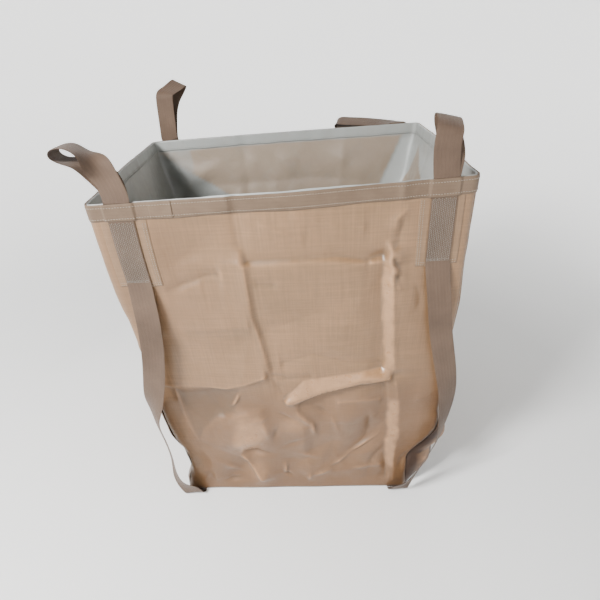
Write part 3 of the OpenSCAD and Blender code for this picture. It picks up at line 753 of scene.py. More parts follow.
def mat_liner(name):
    """Milky film: cool grey-white where it hangs free, warm where it lies on the cloth behind it."""
    M = Mat(name)
    uv, ob = M.uv(), M.obj()
    tint = M.attr("tint")
    sheen = M.attr("bright")
    cloud = M.noise(ob, 5.0, 5, .6, .5)
    c2 = M.noise(ob, 22.0, 4, .6, .6)
    cool = M.mix(cloud, lin((.475, .48, .47)), lin((.565, .575, .56)))
    warm = M.mix(cloud, lin((.475, .42, .362)), lin((.565, .505, .44)))
    t = M.math("ADD", tint, M.mapr(c2, .3, .7, -.12, .12), clamp=True)
    col = M.mix(t, cool, warm)
    # painted light: 'bright' lifts the film towards white on the right wall, on a strip of the back wall and along its
    # cut top edge
    col = M.mix(M.math("MULTIPLY", sheen, .70, clamp=True), col, lin((.64, .65, .64)))
    prod, edge, sep = weave_height(M, uv, .0026)
    wv = M.mapr(prod, -1, 1, .975, 1.02)
    comb = M.n("ShaderNodeCombineColor")
    for i in range(3):
        M.l.new(wv, comb.inputs[i])
    col = M.mix(1.0, col, comb.outputs[0], "MULTIPLY")
    M.out("Base Color", col)
    rn = M.noise(ob, 30.0, 4, .6)
    M.out("Roughness", M.mapr(rn, .3, .7, .34, .52))
    M.out("Specular IOR Level", .45)
    M.out("Subsurface Weight", .12)
    M.out("Subsurface Radius", (.01, .01, .009))
    M.out("Coat Weight", .2)
    M.out("Coat Roughness", .3)
    n1 = M.bump(M.noise(ob, 38.0, 6, .62, .9), .3, .0022)
    n2 = M.bump(M.noise(ob, 11.0, 3, .5, 1.0), .3, .006, n1)
    M.out("Normal", n2)
    return M.m


FABRIC = mat_fabric("woven_outer", (.498, .367, .243), (.405, .309, .195), (.552, .418, .296), rough=.42)
PATCHM = mat_fabric("woven_patch", (.455, .345, .240), (.385, .290, .192), (.510, .398, .288), rough=.5)
BASEM = mat_fabric("woven_base", (.47, .355, .245), (.40, .30, .20), (.53, .41, .295), rough=.5)
TAPEM = mat_webbing("binding_tape", (.372, .302, .238), (.300, .238, .182), (.435, .363, .298), pitch=.0028)
WEBM = mat_webbing("webbing", (.305, .235, .183), (.238, .182, .138), (.382, .308, .252))
LINERM = mat_liner("liner_film")
THREAD = mat_thread("thread_white", (.55, .50, .435), (.41, .365, .31))
THREADG = mat_thread("thread_grey", (.455, .43, .39), (.31, .288, .255))


def give(o, mat):
    o.data.materials.clear()
    o.data.materials.append(mat)
    return o


# ------------------------------------------------------------------ camera, light, floor
cam_d = bpy.data.cameras.new("camera")
cam = bpy.data.objects.new("camera", cam_d)
COLL.objects.link(cam)
cam_d.sensor_width = 36
cam_d.lens = 472.0 / 600 * 36
cam_d.clip_end = 50
pitch, roll = math.radians(28.3), math.radians(2.3)
F = Vector((0, math.cos(pitch), -math.sin(pitch)))
U = Vector((0, math.sin(pitch), math.cos(pitch)))
R = Vector((1, 0, 0))
c, s_ = math.cos(roll), math.sin(roll)
R2 = R * c + U * -s_
U2 = U * c + R * s_
M3 = Matrix((R2, U2, -F)).transposed().to_4x4()
cam.matrix_world = Matrix.Translation((.033, -1.700, 1.500)) @ M3
bpy.context.scene.camera = cam

world = bpy.data.worlds.new("studio")
bpy.context.scene.world = world
world.use_nodes = True
bg = world.node_tree.nodes["Background"]
bg.inputs[0].default_value = (1.0, 1.0, 1.0, 1)
bg.inputs[1].default_value = .12


def area(name, loc, target, size, power, color=(1, 1, 1)):
    d = bpy.data.lights.new(name, "AREA")
    d.shape = "RECTANGLE"
    d.size, d.size_y = size
    d.energy = power
    d.color = color
    o = bpy.data.objects.new(name, d)
    COLL.objects.link(o)
    o.location = loc
    o.rotation_euler = (Vector(target) - Vector(loc)).to_track_quat("-Z", "Y").to_euler()
    return o


area("key", (-2.0, -2.2, 2.8), (0, -.2, .75), (.9, .9), 320)
area("fill", (3.0, -2.2, 2.0), (0, 0, .6), (1.6, 1.6), 8)
area("back", (1.2, 2.4, 3.6), (0, 0, 1.0), (2.4, 1.4), 40)

# a floor that curves up into a pale wall all round, so there is no horizon
prof = [(r, 0.0) for r in (0.0, 900.0, 1800.0, 2600.0)] + [(2600 + 2000 * math.sin(t), 2000 - 2000 * math.cos(t)) for t in np.linspace(.05, math.pi / 2, 22)] + [(4600.0, 3200.0)]
FN = 96
fa = np.arange(FN) * 2 * math.pi / FN
fv = np.concatenate([np.stack([r * np.cos(fa), r * np.sin(fa), np.full(FN, z)], 1) for r, z in prof[1:]] + [np.zeros((1, 3))])
ff = grid_faces(FN, len(prof) - 1, 0, True, True)
k0 = np.arange(FN)
ff = np.concatenate([ff, np.stack([k0, (k0 + 1) % FN, np.full(FN, len(fv) - 1), np.full(FN, len(fv) - 1)], 1)])
bm_faces = [tuple(int(x) for x in q) if q[2] != q[3] else tuple(int(x) for x in q[:3]) for q in ff]
fme = bpy.data.meshes.new("floor")
fme.from_pydata([tuple(v * .001) for v in fv], [], bm_faces)
for pg in fme.polygons:
    pg.use_smooth = True
fme.update()
floor = bpy.data.objects.new("floor", fme)
COLL.objects.link(floor)
FM = Mat("pale_floor")
FM.out("Base Color", FM.mix(FM.noise(FM.obj(), 1.5, 2), (.80, .80, .79), (.82, .82, .81)))
FM.out("Roughness", .85)
FM.out("Specular IOR Level", .1)
fs = FM.n("ShaderNodeSeparateXYZ")
FM.l.new(FM.obj(), fs.inputs[0])
rr = FM.math("SQRT", FM.math("ADD", FM.math("MULTIPLY", fs.outputs[0], fs.outputs[0]), FM.math("MULTIPLY", fs.outputs[1], fs.outputs[1])))
# the floor glows, from nothing at 1.4 m out to strong on its far wall: emitted light standing in for a ring of lamps
# round the bag
FM.out("Emission Color", (1.0, 1.0, 1.0, 1.0))
FM.out("Emission Strength", FM.mapr(rr, 1.4, 4.4, .0, .80))
floor.data.materials.append(FM.m)

# ------------------------------------------------------------------ walls
def lin_s(a, b, n):
    return np.linspace(a, b, n)


NU, NV = 208, 224
VG = np.linspace(0, 1, NV) ** .96
pieces_on_bag = []


def s_columns(a, b, n):
    """Evenly spaced columns of a wall."""
    return np.linspace(a, b, n)


def wall_grid(S, z0, ztop, o):
    """Grid of rows from height z0 to ztop, with ztop measured from the rim."""
    H = side_h(S)
    zt = H + ztop
    Z = z0 + (zt - z0)[None] * VG[:, None]
    SS = np.broadcast_to(S[None], Z.shape)
    return SS, Z


def painted_light_masks(k, D, S, Z):
    """Masks for painted light in the cloth colour: painted shade in the valleys, low down and on the tucked foot,
    painted highlights on the crests and on glossy patches (which are also less rough), for its material.
    """
    dx = 1060.0 * (S[1] - S[0])
    dz = float(np.mean(np.diff(Z[:, 0])))
    turn = np.zeros(D.shape)
    turn[:, 1:-1] += (D[:, 2:] + D[:, :-2] - 2 * D[:, 1:-1]) / dx
    turn[1:-1] += (D[2:] + D[:-2] - 2 * D[1:-1]) / dz
    t2 = turn.copy()
    t2[1:-1, 1:-1] = (turn[1:-1, 1:-1] * 2 + turn[:-2, 1:-1] + turn[2:, 1:-1] + turn[1:-1, :-2] + turn[1:-1, 2:]) / 6
    X = side_x(S[None] + np.zeros(Z.shape), k)
    gloss_and_painted_sheen = np.zeros(D.shape)
    flap = np.zeros(D.shape)
    # the tucked front foot of the right wall, for a painted deep shadow
    sunk = (1 - fade(X + 525, 110, 420)) * (1 - fade(Z, 250, 340)) if k == 1 else np.zeros(D.shape)
    # painted shade, darker towards the bottom (half as strong off the front)
    painted_shade = (1 - fade(Z, 400, 600)) * (1.0 if k == 0 else .5)
    if k == 0:
        # painted highlights on the glossy swelling, the strips along the right creases and the facet (these places are
        # also less rough)
        gloss_and_painted_sheen += pillow(X, Z, -212, 292, 58, 96, -.3, 1.15, 4.0) + pillow(X, Z, -30, 345, 46, 34, .3, .6, 2.2) + pillow(X, Z, -185, 90, 40, 60, .5, .6, 2.2)
        for pts, w in (([(289, 950), (293, 860), (306, 720), (316, 640), (315, 556)], 14), ([(337, 440), (338, 373), (341, 311), (365, 235), (423, 158), (442, 92)], 19)):
            q = np.array(sorted((b, a) for a, b in pts))
            xc = np.interp(Z, q[:, 0], q[:, 1])
            g = fade(Z, q[0, 0] - 10, q[0, 0] + 30) * (1 - fade(Z, q[-1, 0] - 20, q[-1, 0] + 10))
            gloss_and_painted_sheen += g * np.exp(-((X - xc + 3.0 * np.sin(Z / 17.0) + 2.0 * np.sin(Z / 7.0)) / w) ** 4)
        zt = np.interp(X, [-64, -51, 17, 238, 303, 334], [462, 470, 536, 570, 572, 560])
        zb = np.interp(X, [-64, -33, 80, 217, 332], [456, 460, 503, 541, 543])
        gloss_and_painted_sheen += fade(X, -64, -30) * (1 - fade(X, 300, 336)) * fade(zt - Z, -3, 5) * fade(Z - zb, -3, 5)
        def soft_step(v):
            return 1 / (1 + np.exp(-np.clip(v / 3.0, -60, 60)))
        # the flat left flap, which gets painted shade
        flap = soft_step(X - np.interp(Z, [268, 504], [-419, -445])) * soft_step(np.interp(X, [-445, -209], [502, 516]) - Z)
        flap = flap * soft_step(Z - np.interp(X, [-419, -390, -330, -262, -200], [268, 318, 366, 398, 412])) * soft_step(np.interp(Z, [398, 516], [-252, -209]) - X)
        # more painted shade: less at the far left, more on the upper left, the right edge, the lower right corner and
        # the shaded left flap
        painted_shade = painted_shade * (1 - .5 * fade(-X, 430, 470)) + .55 * pillow(X, Z, -400, 930, 170, 260, 0, 1.0, 2.4) + .45 * pillow(X, Z, 440, 760, 90, 360, 0, 1.0, 2.4) + .9 * flap + .5 * pillow(X, Z, 480, 90, 50, 90, 0, 1.0, 3.0)
    if k == 1:
        # painted shade on the lower front part of the right wall
        painted_shade = np.maximum(painted_shade, 1.0 * (1 - fade(X + 525, 200, 560)) * (1 - fade(Z, 250, 420)))
    # crest is a painted highlight on convex crests, sink painted shade in the concave valleys and on the left flap
    return {"crest": np.clip((-t2 - .10) / .75, 0, 1), "sink": np.clip((t2 - .10) / .75 + flap * .75, 0, 1), "tucked": sunk, "gloss_and_painted_sheen": np.clip(gloss_and_painted_sheen, 0, 1), "painted_shade": np.clip(painted_shade, 0, 1)}


for k, nm in enumerate(("front", "right", "back", "left")):
    S = s_columns(k + .0012, k + .9988, NU)
    SS, Z = wall_grid(S, 2.6, -.5, 0)
    Sm = np.mod(SS, 4)
    D = disp(Sm, Z)
    p, n = outline(Sm, np.clip(Z / side_h(Sm), 0, 1))
    A = np.concatenate([p + n * D[..., None], Z[..., None]], -1)
    B = np.concatenate([p + n * (D + FAB)[..., None], Z[..., None]], -1)
    uv = np.stack([SS * 1.06, Z / 1000], -1)
    o = shell_mesh(nm + "_cloth", A, B, uv, attrs=painted_light_masks(k, D, S, Z))
    give(o, FABRIC)
    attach(o, "bag")
    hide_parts(nm + "_panel")

# ------------------------------------------------------------------ base sheet
def quad_grid(inset, n, m):
    C = BASE - np.sign(BASE) * inset
    u, v = np.meshgrid(np.linspace(0, 1, n), np.linspace(0, 1, m))
    u, v = u[..., None], v[..., None]
    return C[0] * (1 - u) * (1 - v) + C[1] * u * (1 - v) + C[2] * u * v + C[3] * (1 - u) * v


g = quad_grid(3.5, 90, 90)
dxb = np.minimum(np.abs(g[..., 0] + 392), np.abs(g[..., 0] - 372))
zb = 2.25 * (1 - fade(dxb, 38, 60)) + .05
zedge = fade(np.minimum(434 - np.abs(g[..., 0]), 440 - np.abs(g[..., 1])), -5, 30)
zb = np.maximum(zb, 2.2 * (1 - zedge))
A = np.concatenate([g, zb[..., None]], -1)
B = np.concatenate([g, (zb + .8)[..., None]], -1)
o = shell_mesh("base_cloth", A, B, g / 1000)
give(o, BASEM)
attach(o, "bag")
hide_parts("base_panel", "base_seam")

# ------------------------------------------------------------------ liner
def inner_off(s, z):
    """How far the film hangs in from the cloth."""
    s = np.mod(s, 4)
    h = side_h(s)
    S = s * 1060.0
    k = np.floor(s).astype(int) % 4
    u = s - np.floor(s)
    o = 3.2 + 0 * s
    web = np.exp(-(np.minimum(u, 1 - u) / .05) ** 2)
    depth = h - z
    o = o + 16 * web * fade(depth, 60, 320) * fade(z, 10, 120)
    c = np.zeros_like(o)
    for wrap in (0, -4240, 4240):
        c += crumple(S + wrap, z, 31, 130, (0, 4240, 100, 1130), 80, .10, 3.0)
        c += crumple(S + wrap, z, 32, 120, (0, 4240, 0, 500), 50, .2, 2.0)
    c += crumple(S, z, 33, 26, (2300, 3100, 820, 1080), 90, .12, 2.5)
    c = c * fade(depth, 46, 130) * fade(z, 8, 60)
    o = o + np.clip(c, -1.8, 14) + 2.5 * fade(depth, 46, 150)
    return o


NL = 420
S = np.linspace(0, 4, NL, endpoint=False)
H = side_h(S)
peek = 4.0 * (np.exp(-((S - .5) / .22) ** 4)) + .8 * np.sin(S * 23) + .5 * np.sin(S * 57 + 1)
ztop = H - .5 + np.clip(peek, 0, 5)
VL = np.linspace(0, 1, 115)
Z = 5.2 + (ztop - 5.2)[None] * VL[:, None]
SS = np.broadcast_to(S[None], Z.shape)
Zc = np.minimum(Z, H[None])
D = disp(SS, Zc)
off = inner_off(SS, Zc)
p, n = outline(SS, np.clip(Z / H[None], 0, 1))
B = np.concatenate([p + n * (D - off)[..., None], Z[..., None]], -1)
A = np.concatenate([p + n * (D - off - .35)[..., None], Z[..., None]], -1)


def tint_of(s, z):
    """1 where the film lies on the cloth (warm), 0 where it hangs free (cool)."""
    s = np.mod(s, 4)
    k = np.floor(s).astype(int) % 4
    u = s - np.floor(s)
    h = side_h(s)
    dep = h - z
    t = np.zeros_like(s)
    # back wall: u runs from the right corner to the left one
    m = k == 2
    x = 583 - u * 1166
    right_edge = fade(534 - dep * .32 - x, -6, 6)
    diag = fade((x + 558) * .74 - (dep - 62), -6, 6)
    strip = fade(x + 428 + dep * .08, -5, 5) * .55 + .45
    tb = right_edge * diag * strip
    t = np.where(m, tb, t)
    # front wall
    t = np.where(k == 0, .8, t)
    t = np.where(k == 3, .12 + .1 * fade(dep, 250, 500), t)
    t = np.where(k == 1, .1 + .35 * fade(dep, 200, 520), t)
    # right wall: a wedge where the film is drawn back on to the cloth
    wedge = fade(u - (.864 - .0016 * (dep - 77)), -.005, .005) * fade((.864 + .0008 * (dep - 77)) - u, -.005, .005) * (1 - fade(dep, 330, 430))
    t = np.where(k == 1, np.maximum(t, wedge), t)
    # hem band at the top stays cool
    t = t * fade(dep, 40, 50)
    return t


# painted light on the film: light shining through the right wall, a lit strip on the back wall near its right corner, a
# faint lift on the left wall and a highlight on the cut top edge
def bright_of(s, z):
    s = np.mod(s, 4)
    k = np.floor(s).astype(int) % 4
    u = s - np.floor(s)
    dep = side_h(s) - z
    b = np.zeros_like(s)
    wedge = fade(u - (.864 - .0016 * (dep - 77)), -.005, .005) * fade((.864 + .0008 * (dep - 77)) - u, -.005, .005)
    b = np.where(k == 1, .62 * fade(dep, 40, 120) * (1 - wedge), b)
    x = 583 - u * 1166
    strip = fade(x - (545 - dep * .32), -6, 6) * fade(dep, 45, 70)
    b = np.where(k == 2, .8 * strip, b)
    b = np.where((k == 3), .10, b)
    b = b + .9 * (dep < .4)
    return b


uv = np.stack([SS * 1.06, Z / 1000], -1)
o = shell_mesh("liner_film_wall", A, B, uv, closed=True, attrs={"tint": tint_of(SS, Zc), "bright": bright_of(SS, Z)})
give(o, LINERM)
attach(o, "bag")
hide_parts("liner_wall", "corner_seam_fl", "corner_seam_fr", "corner_seam_br", "corner_seam_bl")

g = quad_grid(8, 110, 110)
zf = 5.4 + np.clip(crumple(g[..., 0], g[..., 1], 51, 110, (-440, 440, -440, 440), 70, .22, 3.0), 0, 16)
A = np.concatenate([g, zf[..., None]], -1)
B = np.concatenate([g, (zf + .4)[..., None]], -1)
o = shell_mesh("liner_film_floor", A, B, g / 1000, attrs={"tint": np.full(zf.shape, .55), "bright": np.zeros(zf.shape)})
give(o, LINERM)
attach(o, "bag")
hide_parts("liner_base")

# hem band inside the mouth, with its stitch line
S = np.linspace(0, 4, 640, endpoint=False)
H = side_h(S)
rows = np.linspace(-43, 1.0, 9)
Z = H[None] + rows[:, None] + (.9 * np.sin(S * 31) + .6 * np.sin(S * 77 + 2))[None] * np.linspace(1, .25, 9)[:, None]
SS = np.broadcast_to(S[None], Z.shape)
Zc = np.minimum(Z, H[None])
D = disp(SS, Zc)
off = inner_off(SS, Zc)
p, n = outline(SS, np.clip(Z / H[None], 0, 1))
ripple = (.5 * np.sin(S * 96) + .4 * np.sin(S * 61 + 1))[None] * np.linspace(1, .1, 9)[:, None]
B = np.concatenate([p + n * (D - off - .8 - ripple * .8)[..., None], Z[..., None]], -1)
A = np.concatenate([p + n * (D - off - 1.3 - ripple * .8)[..., None], Z[..., None]], -1)
uv = np.stack([SS * 1.06, Z / 1000], -1)
o = shell_mesh("liner_hem_band", A, B, uv, closed=True, attrs={"tint": np.zeros(Z.shape), "bright": np.full(Z.shape, .05)})
give(o, LINERM)
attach(o, "bag")
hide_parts("liner_hem")


def stitch_line(name, S, depth, o_fun, length, rad, mat, inward=False, jitter=.3, seed=3):
    r = np.random.RandomState(seed)
    H = side_h(S)
    z = H - depth + r.uniform(-jitter, jitter, len(S))
    a = o_fun(S, z)
    ds = .0006
    P0, P1 = wall(S - ds, z, a), wall(S + ds, z, a)
    C = (P0 + P1) / 2
    Dv = P1 - P0
    _, n = outline(S, np.clip(z / H, 0, 1))
    N = np.concatenate([n, np.zeros((len(S), 1))], -1) * (-1 if inward else 1)
    o = capsules(name, C, Dv, N, length, rad)
    return give(o, mat)


S = np.arange(0, 4, 7.5 / 1060.0)
o = stitch_line("hem_stitches_inside", S, 34, lambda s, z: -inner_off(s, z) - 1.55, 5.4, .55, THREADG, True)
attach(o, "bag")

# ------------------------------------------------------------------ rim tape
def strap_near(s):
    return np.min([np.abs((np.mod(s, 4) - p + 2) % 4 - 2) for p in STRAPS], axis=0)


O_TAPE = O_WEB + WEB_T + .5


def tape_off(s):
    d = strap_near(s)
    over = 1 - fade(d, .0345, .044)
    return (O_PATCH + 1.0) * (1 - over) + O_TAPE * over


def tape_grid(S, extra, rows, name, closed, height=48.0, z_up=.4, ripple=1.0):
    H = side_h(S)
    t = np.linspace(0, 1, rows)
    lowe = -height + ripple * (1.1 * np.sin(S * 19 + .4) + .7 * np.sin(S * 47))
    Z = H[None] + lowe[None] * (1 - t)[:, None] + z_up * t[:, None]
    SS = np.broadcast_to(S[None], Z.shape)
    Zc = np.minimum(Z, H[None])
    D = disp(SS, Zc)
    bulge = .8 * np.sin(np.pi * t)[:, None] + .35 * np.sin(SS * 140 + t[:, None] * 2)
    a = tape_off(SS) + extra + np.clip(bulge, 0, 2)
    p, n = outline(SS, np.clip(Z / H[None], 0, 1))
    edge = np.array([.25] + [1] * (rows - 2) + [.25])[:, None]
    A = np.concatenate([p + n * (D + a)[..., None], Z[..., None]], -1)
    B = np.concatenate([p + n * (D + a + .9 * edge)[..., None], Z[..., None]], -1)
    uv = np.stack([Z / 1000 - BAG_H / 1000, SS * 1.06], -1)
    return shell_mesh(name, A, B, uv, closed=closed)


fine = []
for k in range(4):
    base_s = np.linspace(k, k + 1, 170, endpoint=False)
    fine.append(base_s)
for ps in STRAPS:
    for sg in (-1, 1):
        fine.append(ps + sg * np.linspace(.032, .046, 12))
S = np.unique(np.round(np.mod(np.concatenate(fine), 4), 6))
o = tape_grid(S, 0.0, 13, "rim_tape_cloth", True)
give(o, TAPEM)
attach(o, "bag")
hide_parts("rim_tape")
o = tape_grid(np.linspace(.163, .221, 30), 1.5, 13, "rim_tape_lap_cloth", False, 47.0, -.4)
give(o, TAPEM)
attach(o, "bag")
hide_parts("tape_lap")


def on_tape(s, z):
    lap = fade(s, .160, .163) * (1 - fade(s, .221, .224))
    t = np.clip((z - side_h(s) + 48) / 48, 0, 1)
    return tape_off(s) + 1.5 * lap + np.clip(.8 * np.sin(np.pi * t) + .35 * np.sin(s * 140 + t * 2), 0, 2) + 1.05


S = np.arange(0, 4, 7.6 / 1060.0)
o1 = stitch_line("tape_stitches_low", S, 40.5, on_tape, 5.6, .85, THREAD, seed=4)
o2 = stitch_line("tape_stitches_high", S + .003, 9.0, on_tape, 5.6, .85, THREAD, seed=5)
for o in (o1, o2):
    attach(o, "bag")
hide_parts("rim_stitching")

# ------------------------------------------------------------------ straps, tails, patches
FREE = [
    [((-418, -494, 800), (1, 0, 0)), ((-422, -498, 700), (1, 0, 0)), ((-434, -498, 610), (1, -0.05, 0)), ((-450, -494, 530), (1, -0.2, 0)),
     ((-462, -486, 470), (0.85, -0.55, 0.2)), ((-469, -480, 420), (0.6, -0.85, 0.5)), ((-466, -478, 370), (0.5, -1, 0.8)),
     ((-456, -476, 310), (0.5, -1, 0.8)), ((-448, -474, 240), (0.5, -1, 0.7)), ((-446, -472, 170), (0.5, -1, 0.7)),
     ((-442, -468, 110), (0.7, -0.8, 0.3)), ((-428, -462, 66), (0.95, -0.35, 0)), ((-410, -458, 36), (1, -0.1, 0)), ((-396, -455, 15), (1, 0, 0)),
     ((-392, -448, 4), (1, 0, 0)), ((-392, -438, 1), (1, 0, 0)), ((-392, -429, 0.9), (1, 0, 0))],
    [((440, -494, 830), (1, 0, 0)), ((456, -496, 720), (1, 0.05, 0)), ((484, -494, 590), (1, 0.15, 0)), ((502, -488, 500), (0.95, 0.35, 0)),
     ((508, -482, 430), (0.85, 0.5, -0.1)), ((508, -480, 360), (0.7, 0.7, -0.3)), ((502, -480, 300), (0.55, 0.9, -0.6)),
     ((490, -480, 245), (0.45, 0.95, -0.8)), ((470, -480, 190), (0.4, 1, -0.9)), ((446, -482, 135), (0.45, 1, -0.8)),
     ((422, -484, 88), (0.65, 0.8, -0.3)), ((398, -482, 48), (0.9, 0.45, 0)), ((382, -478, 26), (1, 0.1, 0)), ((374, -474, 12), (1, 0, 0)),
     ((372, -467, 3.5), (1, 0, 0)), ((372, -459, 1), (1, 0, 0)), ((372, -452, 0.9), (1, 0, 0))],
    [((482, 492, 820), (-1, 0, 0)), ((474, 490, 700), (-1, 0, 0)), ((462, 484, 560), (-1, 0, 0)), ((450, 478, 400), (-1, 0, 0)),
     ((432, 476, 240), (-1, 0, 0)), ((410, 476, 120), (-1, 0, 0)), ((386, 478, 45), (-1, 0, 0)), ((374, 475, 14), (-1, 0, 0)),
     ((372, 466, 3.2), (-1, 0, 0)), ((372, 456, 1), (-1, 0, 0)), ((372, 448, 0.9), (-1, 0, 0))],
    [((-496, 492, 800), (-1, 0, 0)), ((-486, 490, 680), (-1, 0, 0)), ((-468, 484, 540), (-1, 0, 0)), ((-452, 480, 390), (-1, 0, 0)),
     ((-436, 478, 230), (-1, 0, 0)), ((-420, 478, 120), (-1, 0, 0)), ((-402, 480, 45), (-1, 0, 0)), ((-394, 477, 14), (-1, 0, 0)),
     ((-392, 468, 3.2), (-1, 0, 0)), ((-392, 458, 1), (-1, 0, 0)), ((-392, 450, 0.9), (-1, 0, 0))]]
NAMES = ["fl", "fr", "br", "bl"]
SEWN = 235.0


def wall_dir(c, z):
    z = np.atleast_1d(np.asarray(z, float))
    a, b = wall(np.full(z.shape, c - .03), z, 0, False), wall(np.full(z.shape, c + .03), z, 0, False)
    return unit((b - a) * np.array([1, 1, 0.0]))


def along(c, z, o):
    z = np.asarray(z, float)
    return wall(np.full(z.shape, c), z, o)


for i, c in enumerate(STRAPS):
    nm = NAMES[i]
    hc = float(side_h(np.array([c]))[0])
    wd = wall_dir(c, hc - 120)[0]
    zz = np.linspace(hc - 2.0, hc - SEWN, 14)
    head = along(c, zz, O_WEB + WEB_T / 2)
    P = np.concatenate([head, catmull([q[0] for q in FREE[i]], 14)])
    W = np.concatenate([wall_dir(c, zz), catmull([q[1] for q in FREE[i]], 14)])
    o, _ = ribbon("strap_%s_web" % nm, P, W, cup=.5, seed=10 + i, smoothing=10, edge=.35)
    give(o, WEBM)
    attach(o, "bag")
    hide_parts("strap_" + nm)
    # folded-back end under it
    zz = np.linspace(hc - 2.0, hc - SEWN + 12, 12)
    o, _ = ribbon("tail_%s_web" % nm, along(c, zz, O_TAIL + WEB_T / 2), wall_dir(c, zz), width=69, seed=20 + i, edge=.1)
    give(o, WEBM)
    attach(o, "bag")
    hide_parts("tail_" + nm)
    # reinforcing patch
    k = int(c)
    u = c - k
    a, b = (k + .032, k + .15) if u < .5 else (k + .85, k + .968)
    S = np.linspace(a, b, 46)
    t = np.linspace(0, 1, 60)
    low = -248 + 3.0 * np.sin(S * 40)
    Z = side_h(S)[None] + low[None] * (1 - t)[:, None] - 3 * t[:, None]
    SS = np.broadcast_to(S[None], Z.shape)
    A_, B_ = wall(SS, Z, O_PATCH), wall(SS, Z, O_PATCH + .65)
    o = shell_mesh("patch_%s_cloth" % nm, A_, B_, np.stack([SS * 1.06, Z / 1000], -1))
    give(o, PATCHM)
    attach(o, "bag")
    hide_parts("patch_" + nm)
    # stitches: double row round the patch edge, dense lock stitch through the webbing
    C, Dv = [], []
    inner = b if u < .5 else a
    sg = -1 if u < .5 else 1
    for dd in (5, 12):
        ss = inner + sg * dd / 1060
        z = np.arange(hc - 244, hc - 52, 6.2)
        P = along(ss, z, O_PATCH + .95)
        C.append(P)
        Dv.append(np.repeat([[0, 0, 1.0]], len(z), 0))
    for dd in (5, 12):
        S2 = np.arange(a + .006, b - .006, 6.2 / 1060)
        z = side_h(S2) - 248 + dd + 3.0 * np.sin(S2 * 40)
        P = wall(S2, z, O_PATCH + .95)
        C.append(P)
        Dv.append(np.repeat(wd[None], len(S2), 0))
    nn = np.array([wd[1], -wd[0], 0])
    Cp, Dp = np.concatenate(C), np.concatenate(Dv)
    o = capsules("patch_stitches_" + nm, Cp, Dp, np.repeat(nn[None], len(Cp), 0), 4.6, .75)
    give(o, THREAD)
    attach(o, "bag")
    r = np.random.RandomState(60 + i)
    C, Dv = [], []
    z = np.arange(hc - SEWN + 6, hc - 51, 5.4)
    for j, x in enumerate(np.linspace(-30.5, 30.5, 13)):
        P = along(c, z + (j % 2) * 2.7, O_WEB + WEB_T + .28) + wd * (x + r.uniform(-.5, .5, (len(z), 1)))
        C.append(P)
        sl = .55 if j % 2 else -.55
        Dv.append(np.repeat([[wd[0] * sl, wd[1] * sl, 1.0]], len(z), 0) + r.uniform(-.12, .12, (len(z), 3)))
    x = np.arange(-31, 31.1, 4.6)
    for zz_ in (hc - SEWN + 3.5, hc - SEWN + 8):
        C.append(along(c, np.full(len(x), zz_), O_WEB + WEB_T + .3) + wd * x[:, None])
        Dv.append(np.repeat(wd[None], len(x), 0))
    Cp, Dp = np.concatenate(C), np.concatenate(Dv)
    o = capsules("strap_stitches_" + nm, Cp, Dp, np.repeat(nn[None], len(Cp), 0), 4.6, .85)
    give(o, THREADG)
    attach(o, "bag")
    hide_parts("stitching_" + nm)

for nm, x, y0, y1 in (("left", -392, -428.6, 449.6), ("right", 372, -451.6, 447.6)):
    yy = np.linspace(y0 + 1, y1 - 1, 40)
    P = np.stack([np.full(40, float(x)), yy, np.full(40, .9)], 1)
    o, _ = ribbon("base_belt_%s_web" % nm, P, np.repeat([[1.0, 0, 0]], 40, 0), step_mm=12, edge=0)
    give(o, WEBM)
    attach(o, "bag")
    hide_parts("base_belt_" + nm)

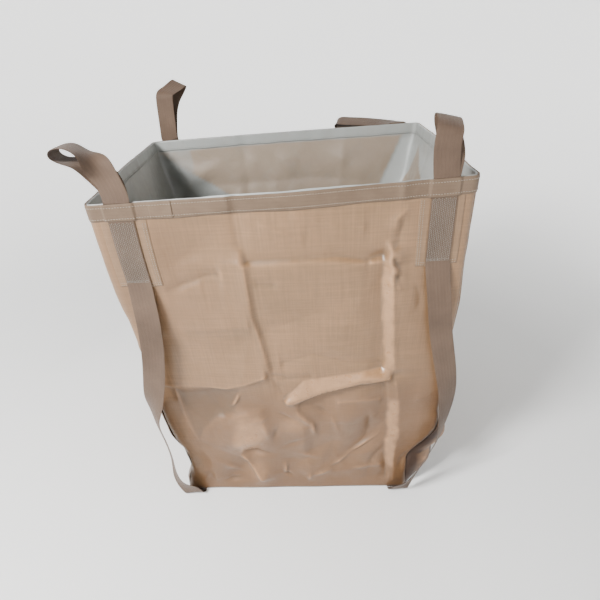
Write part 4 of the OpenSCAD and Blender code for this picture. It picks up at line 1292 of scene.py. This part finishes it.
# ------------------------------------------------------------------ lifting loops
LOOPS = [
    [((0, -1.05, 3), (1, 0, 0)), ((-1, -1.3, 22), (1, 0, 0)), ((-9, -5, 55), (1, 0.05, 0)), ((-22, -10, 92), (0.95, 0.3, -0.2)),
     ((-46, -8, 124), (0.7, 0.8, -0.4)), ((-86, 0, 146), (0.2, 1, 0)), ((-122, 6, 142), (0, 1, 0)), ((-132, 8, 126), (0, 1, 0)),
     ((-112, 10, 110), (0.1, 1, 0)), ((-70, 10, 102), (0.5, 0.9, 0.2)), ((-36, 8, 82), (0.8, 0.5, 0.2)), ((-8, 3, 50), (1, 0.1, 0)),
     ((-1, 1.3, 22), (1, 0, 0)), ((0, 1.05, 3), (1, 0, 0))],
    [((0, -1.05, 3), (1, 0, 0)), ((-3, -1.3, 25), (1, 0, 0)), ((-7, -4, 66), (1, 0, 0)), ((-8, -9, 96), (1, 0, -0.08)),
     ((-6, -9, 113), (0.99, 0, -0.15)), ((-3, -1, 126), (0.98, 0.03, -0.2)), ((-1, 18, 139), (0.97, 0.06, -0.22)), ((0, 37, 147), (0.97, 0.06, -0.22)),
     ((-1, 46, 142), (0.97, 0.06, -0.22)), ((-2, 41, 127), (0.97, 0.06, -0.22)), ((2, 26, 102), (0.98, 0.05, -0.15)), ((7, 12, 74), (1, 0.03, -0.06)),
     ((8, 3, 48), (1, 0.02, 0)), ((5, 1.3, 25), (1, 0, 0)), ((3, 1.05, 3), (1, 0, 0))],
    [((0, 3, 1.05), (1, 0, 0)), ((-5, 20, 0), (0.97, 0.25, 0.03)), ((-26, 42, -4), (0.75, 0.62, 0.15)), ((-75, 66, -4), (0.5, 0.82, 0.28)),
     ((-140, 86, -1), (0.38, 0.86, 0.35)), ((-205, 102, 2), (0.34, 0.88, 0.35)), ((-248, 112, 3), (0.32, 0.9, 0.35)),
     ((-262, 115, -9), (0.3, 0.9, 0.3)), ((-248, 112, -21), (0.32, 0.9, 0.35)), ((-205, 102, -22), (0.34, 0.88, 0.35)),
     ((-140, 86, -22), (0.38, 0.86, 0.35)), ((-75, 66, -20), (0.5, 0.82, 0.28)), ((-26, 42, -15), (0.75, 0.62, 0.15)),
     ((-5, 20, -6), (0.97, 0.25, 0.03)), ((-2, 3, -1.05), (1, 0, 0))],
    [((0, 1.05, 3), (1, 0, 0)), ((0, 2, 25), (1, 0, 0)), ((4, 10, 70), (1, 0, 0)), ((12, 24, 120), (1, -0.1, 0)),
     ((27, 38, 160), (0.92, -0.28, -0.22)), ((45, 53, 190), (0.863, -0.347, -0.367)), ((58, 63, 212), (0.863, -0.347, -0.367)),
     ((63, 64, 222), (0.863, -0.347, -0.367)), ((59, 54, 221.5), (0.863, -0.347, -0.367)), ((43, 32, 210), (0.863, -0.347, -0.367)),
     ((27, 9, 199), (0.93, -0.25, -0.25)), ((15, -5, 192), (0.98, -0.1, -0.12)), ((9, -14, 184), (1, 0, -0.04)), ((6, -18, 172), (1, 0, 0)),
     ((3, -14, 138), (1, 0, 0)), ((0, -8, 80), (1, 0, 0)), ((-3, -2, 25), (1, 0, 0)), ((-4, -1.05, 3), (1, 0, 0))]]
JOINTS = {j["child"]: j for j in frame["record"]["behaviour"]["joints"]}
for i, c in enumerate(STRAPS):
    nm = NAMES[i]
    ax = np.array(JOINTS["lifting_loop_" + nm]["pos_m"]) * 1000
    P = catmull([q[0] for q in LOOPS[i]], 14) + ax
    W = catmull([q[1] for q in LOOPS[i]], 14)
    wd = wall_dir(c, float(side_h(np.array([c]))[0]))[0] * (1 if i < 2 else -1)
    # both legs run on down, behind the tape
    _, n2 = outline(np.array([c]), np.array([1.0]))
    out = np.array([n2[0][0], n2[0][1], 0])
    legs = []
    for e, sg in ((0, 1), (-1, -1)):
        outer = O_WEB + WEB_T / 2 - (O_WEB - .15)
        off = (outer if e == 0 else -outer)
        foot = ax + out * off + np.array([0, 0, -AXIS_UP - 2.0])
        mid = ax + out * off + np.array([0, 0, -1.0])
        legs.append((foot, mid))
    P = np.concatenate([[legs[0][0], legs[0][1]], P, [legs[1][1], legs[1][0]]])
    W = np.concatenate([[wd, wd], W, [wd, wd]])
    o, _ = ribbon("loop_%s_web" % nm, P, W, cup=.7, seed=30 + i, smoothing=3, step_mm=4.5, edge=.3)
    give(o, WEBM)
    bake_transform(o)
    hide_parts("loop_" + nm)
